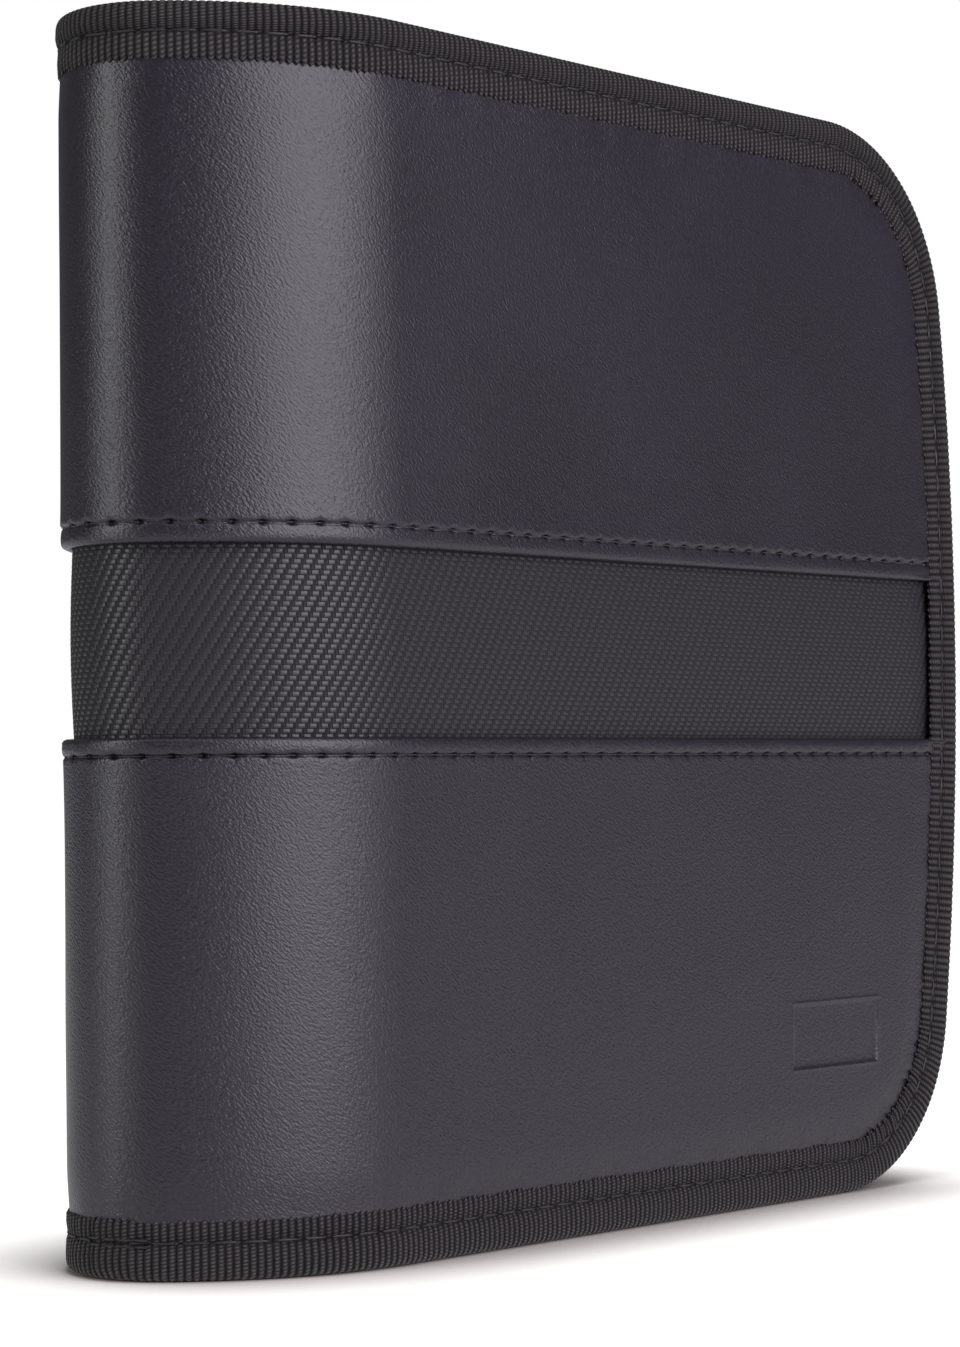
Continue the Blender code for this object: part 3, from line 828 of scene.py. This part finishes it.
def make_band_half(name, side):
    shown = np.arange(BAND_BOTTOM - TWILL_ROW, BAND_TOP + TWILL_ROW, TWILL_ROW / 3)
    heights = np.concatenate([[BAND_BOTTOM - BAND_UNDER], shown, [BAND_TOP + BAND_UNDER]])
    back = np.linspace(BAND_TOP + BAND_UNDER, BAND_BOTTOM - BAND_UNDER, 6)
    ring_heights = np.concatenate([heights, back])
    columns = np.arange(0.0, RIM_END - 1.0, TWILL_STEP)
    lengths = spread_columns(np.append(columns, RIM_END - RIM_INSET), ring_heights, RIM_INSET)
    outer = np.arange(len(ring_heights)) < len(heights)
    stand = np.where(outer, BAND_STAND, BAND_STAND - BAND)[None, :] + 0 * lengths
    up_band = np.clip((ring_heights - BAND_BOTTOM) / (BAND_TOP - BAND_BOTTOM), 0, 1)
    bow = BAND_BOW * np.sin(math.pi * up_band)
    stand = stand + np.where(outer, bow, 0.0)[None, :]
    seen = outer & (ring_heights > BAND_BOTTOM - TWILL_ROW) & (ring_heights < BAND_TOP + TWILL_ROW)
    rise = outward(side, lengths) * seen[None, :, None]
    piece = ring_piece(name, *lay(side, lengths, ring_heights, stand), TWILL_FINISH,
                       {"rise": rise})
    return run_tree(piece, TWILL, repeat=TWILL_REPEAT, row=TWILL_ROW, step=TWILL_STEP,
                    weave_height=TWILL_HEIGHT * MM)


for side, label in SIDES.items():
    piece = bend(make_band_half(f"woven_band_{label}_half", side), side, "band",
                 f"{label}_band", "spine_band")
    print(piece.name, "faces:", len(piece.data.polygons))

# %% [markdown]
# The tape is a ribbed ribbon, folded over the rim and sewn through. Its ribs run across it, so
# along the rim they stand side by side, and round a corner they fan out. In section it lies on
# the skin at its woven edge, dips at the seam, swells, and rolls over the rim to the inside.
# The section is drawn once, as points of inset and stand.

# %% The tape's section
WALL = 5.6
RIB_HEIGHT = 0.12
SEAM_INSET = 5.0
TAPE_EDGE = 7.75
HALF_WALL = WALL / 2
LEG = np.array([
    (TAPE_EDGE, -0.44), (TAPE_EDGE, -0.22), (TAPE_EDGE - 0.2, -0.06), (6.5, 0.01), (5.4, -0.07),
    (SEAM_INSET, -0.20), (4.6, -0.05), (4.1, 0.08), (2.8, 0.22), (1.5, 0.17), (1.0, 0.06),
    (0.58, -0.16), (0.32, -0.5), (0.20, -1.0), (0.15, -1.8),
])
INSIDE = np.array([(0.85, -2.8), (0.85, -1.2), (0.95, -0.50), (2.5, -0.42), (5.0, -0.44),
                   (TAPE_EDGE - 0.3, -0.42)])


def mirror_inside(points):
    """The same section on the inner face of the wall."""
    return np.stack([points[::-1, 0], -WALL - points[::-1, 1]], -1)


OUTER_RUN = np.concatenate([LEG, [(0.13, -HALF_WALL)], mirror_inside(LEG)])
INNER_RUN = np.concatenate([mirror_inside(INSIDE[1:]), INSIDE])
SECTION = np.concatenate([OUTER_RUN, INNER_RUN])
STEP_OUT = np.gradient(OUTER_RUN, axis=0)
FACING = np.stack([-STEP_OUT[:, 1], STEP_OUT[:, 0]], -1)
FACING /= -np.linalg.norm(FACING, axis=1)[:, None]
TRAVEL = np.concatenate([[0.0], np.cumsum(np.linalg.norm(np.diff(OUTER_RUN, axis=0), axis=1))])
print("tape is", round(float(TRAVEL[-1]), 1), "mm wide, ribs every", round(float(RIB_PITCH), 3))

# %% [markdown]
# Every rib is the same rounded ridge, so a second tree lifts them all from the distance along
# the rim. The small loops of the woven edge are drawn in the section's insets, one at each rib.
# Where the tape goes round a corner its inner edge is too long, and it puckers. The tape's two
# ends overlap at the bottom of the spine, and there the upper end stands a little higher.


# %% Build the tape
def rib_tree():
    """Rounded ridges across the tape."""
    tree, given = start_tree("Ribs", {"Rib Pitch": RIB_PITCH, "Rib Height": RIB_HEIGHT * MM})
    place = node(tree, "ShaderNodeSeparateXYZ", {"Vector": named(tree, "cloth", "FLOAT_VECTOR")})
    turns = calc(tree, "DIVIDE", place.outputs[0], given["Rib Pitch"])
    wave = calc(tree, "COSINE", calc(tree, "MULTIPLY", turns, 2 * math.pi))
    crest = calc(tree, "POWER", calc(tree, "MULTIPLY_ADD", wave, 0.5, 0.5), 0.4)
    # Painted shade: the crest kept here is low in the grooves and at the seam, and the tape's
    # colour darkens with it.
    shown = calc(tree, "MULTIPLY", crest, named(tree, "open", "FLOAT"))
    end_tree(tree, lift(tree, given["Geometry"], shown, given["Rib Height"]), TAPE_FINISH)
    return tree


RIBS = rib_tree()
LAP_END = 6.2
LAP_RISE = 0.34
LOOP = 0.14
CORNER_LOOP = 0.16
LOOP_DRIFT = 0.10
RIPPLE = 0.07
CORNER_RIPPLE = 0.20
SEAM_DRIFT = 0.9
HOLE_DIP = 0.22


def seam_inset(along):
    """The seam runs nearer to the rim along the top than along the bottom."""
    share = np.clip((along - RIM_KNOTS[2]) / (RIM_KNOTS[3] - RIM_KNOTS[2]), 0, 1)
    return SEAM_INSET - SEAM_DRIFT * share


def seam_distance(along):
    """Distance along the seam line at each place along the rim."""
    length, height = rim(along, seam_inset(along))[:2]
    step = np.hypot(np.diff(length), np.diff(height))
    return np.concatenate([[0.0], np.cumsum(step)])


def in_corner(along):
    """1 in the middle of a corner, 0 on the straights."""
    bottom = np.clip((along - RIM_KNOTS[1]) * (RIM_KNOTS[2] - along) / 350.0, 0, 1)
    top = np.clip((along - RIM_KNOTS[3]) * (RIM_KNOTS[4] - along) / 450.0, 0, 1)
    return np.maximum(bottom, top)


def tape_sway(along, inset):
    """Puckers of the woven edge, mostly round the corners, and a slow unevenness."""
    ripple = np.sin(along / 0.43) * np.sin(along / 2.9 + 0.6) + 0.4 * np.sin(along / 1.31)
    edge = np.clip((inset - SEAM_INSET) / 2.4, 0, 1)
    slow = 0.10 * np.sin(along / 6.7) * np.sin(along / 3.1 + 1.1)
    size = RIPPLE + CORNER_RIPPLE * in_corner(along)
    return edge * size * ripple + slow * bell(inset - 2.6, 1.4)


def make_tape_half(name, side):
    along = np.arange(round(RIM_LENGTH / RIB_PITCH) * 4 + 1) * RIB_PITCH / 4
    inset = SECTION[:, 0][None, :] + 0 * along[:, None]
    loops = LOOP * np.cos(2 * math.pi * along / RIB_PITCH)
    loops += CORNER_LOOP * in_corner(along) * np.cos(math.pi * along / RIB_PITCH)
    loops += LOOP_DRIFT * np.sin(along / 1.9) * np.sin(along / 5.9)
    inset = inset + loops[:, None] * np.clip((inset - 7.0) / 0.6, 0, 1)
    pulled = (seam_inset(along) - SEAM_INSET)[:, None]
    inset = inset + pulled * bell(inset - SEAM_INSET, 1.6)
    stand = SECTION[:, 1][None, :] + 0 * along[:, None]
    outer = np.arange(len(SECTION)) < len(OUTER_RUN)
    out_side = np.where(SECTION[:, 1] > -HALF_WALL, 1.0, -1.0)[None, :]
    seam = seam_distance(along)
    pitch = seam[-1] / round(seam[-1] / STITCH_PITCH)
    hole = bell(((seam / pitch + 0.5) % 1.0 - 0.5) * pitch, 0.45)[:, None]
    from_seam = inset - SEAM_INSET - pulled
    dip = HOLE_DIP * hole * bell(from_seam, 0.5)
    sway = tape_sway(along[:, None], inset)
    lap = LAP_RISE * np.clip((LAP_END - along) / 0.5, 0, 1)[:, None] * (side == FRONT)
    lap = lap * np.clip((inset - 0.8) / 1.2, 0, 1)
    stand = stand + out_side * np.where(outer[None, :], sway - dip + lap, np.minimum(sway, 0.0))
    length, height, facing = rim(along[:, None], inset)
    points = wall(side, length, height, stand)
    inward = (-np.cos(facing)[..., None] * lengthwise(side, length)
              + -np.sin(facing)[..., None] * np.array([0.0, 0.0, 1.0]))
    facing_ring = np.zeros((len(SECTION), 2))
    facing_ring[:len(OUTER_RUN)] = FACING
    rise = (inward * facing_ring[None, :, :1] + outward(side, length) * facing_ring[None, :, 1:])
    # Ribs flatten at the seam; kept in the crest attribute, this also paints the tape darker there,
    # as shade in the seam's groove.
    shown = 1.0 - 0.85 * bell(from_seam, 0.4)
    across = np.zeros(len(SECTION))
    across[:len(OUTER_RUN)] = TRAVEL
    cloth = np.stack([side * along[:, None] + 0 * inset, across[None, :] + 0 * inset, stand], -1)
    piece = ring_piece(name, points, cloth, TAPE_FINISH, {"rise": rise, "open": shown.ravel()})
    return run_tree(piece, RIBS, rib_pitch=RIB_PITCH, rib_height=RIB_HEIGHT * MM)


for side, label in SIDES.items():
    piece = bend(make_tape_half(f"rim_tape_{label}_half", side), side, "tape",
                 f"{label}_edge_tape", "spine_top_tape", "spine_bottom_tape")
    print(piece.name, "faces:", len(piece.data.polygons))

# %% [markdown]
# Stitches are the clearest case for Geometry Nodes: one small stitch, repeated at an even pitch
# along a line. The line is a string of points that carries the direction out of the cloth. The
# tree resamples it, turns each stitch along the line with its back to the cloth, and lays it
# there. One tree serves the rows in the skins, the seam in the tape, and the short extra rows
# that hold the tape's overlapped ends.


# %% A row of stitches
STITCH_LENGTH = 3.5
THREAD = 0.30
SEAM_THREAD = 0.42
TOPSTITCH_STAND = -0.26
TOPSTITCH_STOP = 9.0
ROW_POINTS = 600
SEAM_POINTS = 3000
SEAM_SUNK = 0.16
TACK = {"stitch": 2.1, "thick": 0.46, "pitch": 1.9}
TACK_OFFSETS = (-0.45, 0.40)
TACK_RISE = 0.16


def stitch_tree():
    """One stitch, laid again and again along a line."""
    tree, given = start_tree("Stitches", {"Pitch": STITCH_PITCH * MM,
                                          "Stitch Length": STITCH_LENGTH * MM,
                                          "Thread Thickness": THREAD * MM})
    line = node(tree, "GeometryNodeMeshToCurve", {"Mesh": given["Geometry"]})
    even = node(tree, "GeometryNodeResampleCurve", {"Curve": line.outputs[0],
                                                    "Length": given["Pitch"]}, mode="LENGTH")
    heading = node(tree, "GeometryNodeInputTangent").outputs[0]
    turned = node(tree, "FunctionNodeAxesToRotation",
                  {"Primary Axis": heading, "Secondary Axis": named(tree, "rise", "FLOAT_VECTOR")},
                  primary_axis="X", secondary_axis="Z")
    ball = node(tree, "GeometryNodeMeshUVSphere", {"Segments": 8, "Rings": 6, "Radius": 0.5})
    size = node(tree, "ShaderNodeCombineXYZ", {0: given["Stitch Length"],
                                               1: given["Thread Thickness"],
                                               2: given["Thread Thickness"]})
    stitch = node(tree, "GeometryNodeTransform", {"Geometry": ball.outputs[0],
                                                  "Scale": size.outputs[0]})
    smooth = node(tree, "GeometryNodeSetShadeSmooth", {"Geometry": stitch.outputs[0]})
    rows = node(tree, "GeometryNodeInstanceOnPoints",
                {"Points": even.outputs[0], "Instance": smooth.outputs[0],
                 "Rotation": turned.outputs[0]})
    real = node(tree, "GeometryNodeRealizeInstances", {"Geometry": rows.outputs[0]})
    position = node(tree, "GeometryNodeInputPosition").outputs[0]
    spot = node(tree, "ShaderNodeVectorMath", {0: position, "Scale": 1 / MM}, operation="SCALE")
    kept = node(tree, "GeometryNodeStoreNamedAttribute",
                {"Geometry": real.outputs[0], "Name": "cloth", "Value": spot.outputs[0]},
                data_type="FLOAT_VECTOR", domain="POINT")
    end_tree(tree, kept.outputs[0], THREAD_FINISH)
    return tree


STITCHES = stitch_tree()


def stitch_row(name, side, length, height, stand, way_out,
               stitch=STITCH_LENGTH, thick=THREAD, pitch=STITCH_PITCH):
    """Stitches along a line on the wall, thread standing half out of the cloth."""
    points = wall(side, length, height, stand) * MM
    mesh = bpy.data.meshes.new(name)
    count = len(points)
    mesh.from_pydata(points.tolist(), [(i, i + 1) for i in range(count - 1)], [])
    put_vectors(mesh, "rise", outward(side, length) * way_out)
    piece = place_object(name, mesh)
    run_tree(piece, STITCHES, pitch=pitch * MM, stitch_length=stitch * MM,
             thread_thickness=thick * MM)
    return bend(piece, side, "tape")


for side, label in SIDES.items():
    for level, edge, way, shape in (("upper", BAND_TOP, 1, UPPER),
                                    ("lower", BAND_BOTTOM, -1, LOWER)):
        stitches = math.floor((RIM_END - TOPSTITCH_STOP) / STITCH_PITCH)
        last = STITCH_PITCH * stitches + STITCH_PITCH / 2
        length = np.linspace(STITCH_PITCH / 2, last, ROW_POINTS)
        height = np.full(ROW_POINTS, edge + way * shape["seam"])
        stitch_row(f"{level}_topstitch_{label}", side, length, height,
                   np.full(ROW_POINTS, TOPSTITCH_STAND), 1.0)
    seam_along = np.linspace(0.0, RIM_LENGTH, SEAM_POINTS)
    seam = seam_distance(seam_along)
    pitch = seam[-1] / round(seam[-1] / STITCH_PITCH)
    inner_part = (seam >= pitch / 2) & (seam <= seam[-1] - pitch / 2)
    kept = seam_along[inner_part]
    length, height = rim(kept, seam_inset(kept))[:2]
    for where, stand, way_out in (("outer", -SEAM_SUNK, 1.0), ("inner", -WALL + SEAM_SUNK, -1.0)):
        stitch_row(f"tape_seam_{where}_{label}", side, length, height,
                   np.full(len(length), stand), way_out, thick=SEAM_THREAD, pitch=pitch * 0.9999)
    print("stitches on the", label, "half done")

tack_along = np.linspace(0.5, 7.5, 60)
for number, offset in enumerate(TACK_OFFSETS):
    length, height = rim(tack_along, SEAM_INSET + offset)[:2]
    stitch_row(f"tape_backtack_{number + 1}", FRONT, length, height,
               np.full(len(tack_along), TACK_RISE), 1.0, **TACK)

# %% [markdown]
# Inside the wall lie the foam and the lining, which bend with it, and the stiff board, which
# does not and keeps its solid. The lining and the slip pocket are plain cloth with a slight
# slackness, so a modest grid does, made with the same ring helper.


# %% Lining, foam and slip pocket
PLY_ROWS = 34


def make_ply_half(name, side, stand, thick, inset, finish, waviness=0.0, start=0.0, hem=0.0):
    """A ply of the wall from a start, out to an inset from the rim."""
    heights = np.linspace(inset, CASE_HEIGHT - inset, PLY_ROWS)
    ring_heights = np.concatenate([heights, heights[::-1]])
    curved = np.arange(start, FLAT_START, 1.0) if start < FLAT_START else np.array([start])
    columns = np.concatenate([curved, [start + 0.8, start + 1.6] if hem else [],
                              np.arange(max(FLAT_START, start) + 2.2, RIM_END - 3.0, 3.0),
                              [RIM_END - inset]])
    lengths = spread_columns(np.unique(columns), ring_heights, inset)
    outer = (np.arange(len(ring_heights)) < len(heights))[None, :]
    sway = waviness * slack(1.7 * lengths + 40.0 * side, ring_heights[None, :] * 1.3)
    hem_rise = hem * ((lengths - start) < 5.0)
    stands = np.where(outer, stand + sway, stand - thick + sway - hem_rise)
    return ring_piece(name, *lay(side, lengths, ring_heights, stands), finish)


LINING_STAND = -4.7
LINING = 0.35
FOAM_STAND = -2.2
FOAM = 1.2
POCKET_STAND = -5.3
POCKET = 0.3
POCKET_START = FLAT_START + 12.0
FOAM_INSET = 3.0


def give_finish(solid, finish):
    """A solid that keeps its shape gets its finish."""
    NODES[solid].data.materials.clear()
    NODES[solid].data.materials.append(finish)


for side, label in SIDES.items():
    lining = make_ply_half(f"lining_{label}_half", side, LINING_STAND, LINING, RIM_INSET,
                           LINING_FINISH, waviness=0.6)
    bend(lining, side, "lining", f"{label}_lining", "spine_lining")
    foam = make_ply_half(f"foam_{label}_half", side, FOAM_STAND, FOAM, FOAM_INSET, FOAM_FINISH)
    bend(foam, side, "foam", f"{label}_foam", "spine_foam")
    pocket = make_ply_half(f"slip_pocket_{label}_sheet", side, POCKET_STAND, POCKET, RIM_INSET,
                           LINING_FINISH, waviness=0.8, start=POCKET_START, hem=0.25)
    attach(pocket, f"{label}_cover")
    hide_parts(f"{label}_slip_pocket")
    give_finish(f"{label}_board", BOARD_FINISH)
    print("plies of the", label, "half done")

# %% [markdown]
# Ten leaves stand between the covers. Each is a pale non-woven sheet with a clear pocket welded
# to both faces. Flat boxes would look like card, so each leaf gets its own slight wave, its two
# films share it, and the films belly out a little and dip to the sheet along the weld.

# %% Sizes of the leaves
LEAVES = [f"{number + 1:02d}" for number in range(10)]
LEAF_INSET = 8.5
LEAF_THICK = 0.35
FILM_INSET = 10.5
FILM_THICK = 0.15
FILM_BELLY = 0.12
WELD = 0.22


def leaf_wave(x, height, number):
    """A slight wave, different for each leaf and nothing at its gripped edge."""
    free = np.clip((x - SPINE_X - 20.0) / 60.0, 0, 1)
    return 0.16 * free * np.sin(x / 17.0 + 1.9 * number) * np.sin(height / 29.0 + 2.3 * number)


def leaf_bends(name):
    """Where a solid leaf bends, as x and sideways middle, read from its solid."""
    points = np.array([v.co for v in NODES[name].data.vertices]) / MM
    xs = np.unique(np.round(points[:, 0], 2))
    return xs, np.array([points[np.abs(points[:, 0] - x) < 0.02, 1].mean() for x in xs])


def make_leaf_sheet(name, solid, number, inset, thick, finish, belly):
    """A thin sheet in the place of its solid."""
    xs, middles = leaf_bends(solid)
    low, high = (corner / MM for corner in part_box(solid))
    heights = np.linspace(low.z, high.z, 22)
    columns = np.unique(np.concatenate([np.linspace(low.x, high.x, 30), [low.x + 1, high.x - 1]]))
    edge = edge_length(heights, inset) - FLAT_START
    start = outer_face(FLAT_START)[0] + SPINE_X
    share = np.clip((columns - start) / (columns[-1] - start), 0, 1)[:, None]
    x = np.where(share > 0, start + share * edge[None, :], columns[:, None])
    x = np.maximum(x, low.x)
    y = np.interp(x, xs, middles) + leaf_wave(x, heights[None, :], number)
    border = np.minimum(np.minimum(x - low.x, heights[None, :] - low.z),
                        np.minimum(high.z - heights[None, :], start + edge[None, :] - x))
    y = y + belly * (1.0 - (1.0 + WELD) * np.exp(-np.clip(border, 0, None) / 2.0))
    both = [np.stack([x, y + way * thick / 2, heights[None, :] + 0 * x], -1) for way in (-1, 1)]
    points = np.concatenate([both[0], both[1][:, ::-1]], axis=1)
    return ring_piece(name, points, points[:, :, [0, 2, 1]], finish)


for number, label in enumerate(LEAVES):
    leaf = make_leaf_sheet(f"leaf_sheet_{label}", f"leaf_{label}", number, LEAF_INSET,
                           LEAF_THICK, LEAF_FINISH, belly=0.0)
    pieces = [(leaf, f"leaf_{label}", "leaf")]
    for face, way in (("front", -1), ("back", 1)):
        solid = f"pocket_{label}_{face}"
        film = make_leaf_sheet(f"pocket_film_{label}_{face}", solid, number, FILM_INSET,
                               FILM_THICK, FILM_FINISH, belly=FILM_BELLY * way)
        pieces.append((film, solid, "film"))
    for piece, solid, slot in pieces:
        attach(piece, "spine")
        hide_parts(solid)
give_finish("leaf_binding_strip", STRIP_FINISH)
print("leaves and films:", 3 * len(LEAVES))

# %% [markdown]
# The picture is lit like a catalogue photograph: a white sweep, a tall soft light to the right
# that draws the broad highlight down the shoulder, a narrow one behind the left edge, and weak
# light from all round. The room and the floor look white to the camera and through film. To a
# shine they are dimmer, or the satin skin would turn grey all over, and on rough surfaces the
# floor throws only what falls on it. An Ambient Occlusion node draws the soft shadow where the
# case stands on the floor.


# %% Floor, world and lamps
FILL_LEVEL = 0.10
VIOLET_WHITE = (0.96, 0.91, 1.0)
ROOM_SHINE = 0.13
FLOOR_SHINE = 0.50
FADE = 0.030
FADE_RANGE = 0.45
FLOOR_TONE = (0.55, 0.55, 0.55)
SHADOW_TONE = (0.42, 0.385, 0.35)
LAMP_TARGET = Vector((-0.03, 0.0, 0.08))


def straight_ray(tree):
    """1 for rays straight to the camera or through film."""
    path = node(tree, "ShaderNodeLightPath")
    return calc(tree, "MAXIMUM", path.outputs["Is Camera Ray"], path.outputs["Is Transmission Ray"])


def by_ray(tree, straight_level, shine_level):
    """One level for rays straight to the camera, one for rays off a shine, else 0."""
    path = node(tree, "ShaderNodeLightPath")
    return calc(tree, "MAXIMUM", calc(tree, "MULTIPLY", straight_ray(tree), straight_level),
                calc(tree, "MULTIPLY", path.outputs["Is Glossy Ray"], shine_level))


FLOOR_SIZE = 6.0
FLOOR_DROP = 0.05
floor_mesh = bpy.data.meshes.new("white_floor")
half = FLOOR_SIZE / 2
floor_mesh.from_pydata([(x * half, y * half, -FLOOR_DROP * MM)
                        for x, y in ((-1, -1), (1, -1), (1, 1), (-1, 1))], [], [(0, 1, 2, 3)])
floor = place_object("white_floor", floor_mesh)
floor_finish, floor_tree, floor_shader = new_finish("white_sweep", 0.9)
floor_tree.nodes.remove(floor_shader)
open_sky = node(floor_tree, "ShaderNodeAmbientOcclusion", {"Distance": FADE}, samples=12)
above_half = calc(floor_tree, "SUBTRACT", open_sky.outputs["AO"], 0.5)
fade = ramp(floor_tree, above_half, FADE_RANGE)
mixed = node(floor_tree, "ShaderNodeMix", data_type="RGBA")
mixed.inputs[6].default_value = (*FLOOR_TONE, 1.0)
mixed.inputs[7].default_value = (*SHADOW_TONE, 1.0)
floor_tree.links.new(straight_ray(floor_tree), mixed.inputs[0])
matte = node(floor_tree, "ShaderNodeBsdfDiffuse", {"Color": mixed.outputs[2]})
strength = by_ray(floor_tree, fade, FLOOR_SHINE)
glow = node(floor_tree, "ShaderNodeEmission", {"Color": (1, 1, 1, 1), "Strength": strength})
both = node(floor_tree, "ShaderNodeAddShader", {0: matte.outputs[0], 1: glow.outputs[0]})
floor_out = next(n for n in floor_tree.nodes if n.type == "OUTPUT_MATERIAL")
floor_tree.links.new(both.outputs[0], floor_out.inputs["Surface"])
floor_mesh.materials.append(floor_finish)

world = bpy.data.worlds.new("white_room")
bpy.context.scene.world = world
world.use_nodes = True
world_tree = world.node_tree
background = world_tree.nodes["Background"]
level = calc(world_tree, "MAXIMUM", by_ray(world_tree, 1.0, ROOM_SHINE), FILL_LEVEL)
world_tree.links.new(level, background.inputs["Strength"])
background.inputs["Color"].default_value = (1, 1, 1, 1)


def soft_light(name, bearing, distance, height, width, tall, power, tone=(1, 1, 1)):
    """An area lamp that faces the case. Its bearing is measured from -X towards -Y."""
    angle = math.radians(bearing)
    place = Vector((-math.cos(angle) * distance, -math.sin(angle) * distance, height))
    lamp = bpy.data.lights.new(name, "AREA")
    lamp.shape = "RECTANGLE"
    lamp.size = width
    lamp.size_y = tall
    lamp.energy = power
    lamp.color = tone
    made = place_object(name, lamp)
    made.location = place
    made.rotation_euler = (LAMP_TARGET - place).to_track_quat("-Z", "Y").to_euler()


soft_light("shoulder_softbox", bearing=96.0, distance=1.1, height=0.50, width=1.02, tall=1.1,
           power=15.6, tone=VIOLET_WHITE)
soft_light("left_strip", bearing=-15.0, distance=0.9, height=0.40, width=0.28, tall=0.9,
           power=3.7)
soft_light("overhead", bearing=60.0, distance=0.5, height=1.3, width=1.4, tall=1.4,
           power=5.0, tone=VIOLET_WHITE)
bpy.context.scene.view_settings.view_transform = "Standard"

# %% [markdown]
# The camera stands close, at a height just below the band, and its line of sight meets the flat
# cover at 40 degrees. The frame is shifted upward instead of tilting the camera, as with a
# shift lens, so upright lines stay upright. It leans by less than half a degree.

# %% Camera
FOCAL_PIXELS = 3628.0
FRAME_TALL = 1347.0
HORIZON_BELOW_MIDDLE = 100.4
FRAME_RIGHT = 3.9
CAMERA_HEIGHT = 65.0
CAMERA_AWAY = 480.1
CAMERA_ASIDE = 10.3
VIEW_TURN = math.radians(43.5)
LEAN = math.radians(0.47)
ahead = Vector((math.cos(VIEW_TURN), math.sin(VIEW_TURN), 0.0))
right = Vector((math.sin(VIEW_TURN), -math.cos(VIEW_TURN), 0.0))
up = Vector((0.0, 0.0, 1.0))
lens = bpy.data.cameras.new("camera")
lens.lens = FOCAL_PIXELS * lens.sensor_width / FRAME_TALL
lens.shift_x = -FRAME_RIGHT / FRAME_TALL
lens.shift_y = HORIZON_BELOW_MIDDLE / FRAME_TALL
lens.clip_start = 0.01
camera = place_object("camera", lens)
spot = Vector(flat_corner) + right * CAMERA_ASIDE - ahead * CAMERA_AWAY
spot.z = CAMERA_HEIGHT
level_right = right * math.cos(LEAN) - up * math.sin(LEAN)
level_up = up * math.cos(LEAN) + right * math.sin(LEAN)
turned = Matrix((level_right, level_up, -ahead)).transposed().to_4x4()
camera.matrix_world = Matrix.Translation(spot * MM) @ turned
bpy.context.scene.camera = camera
print("camera at mm:", [round(v, 1) for v in spot])
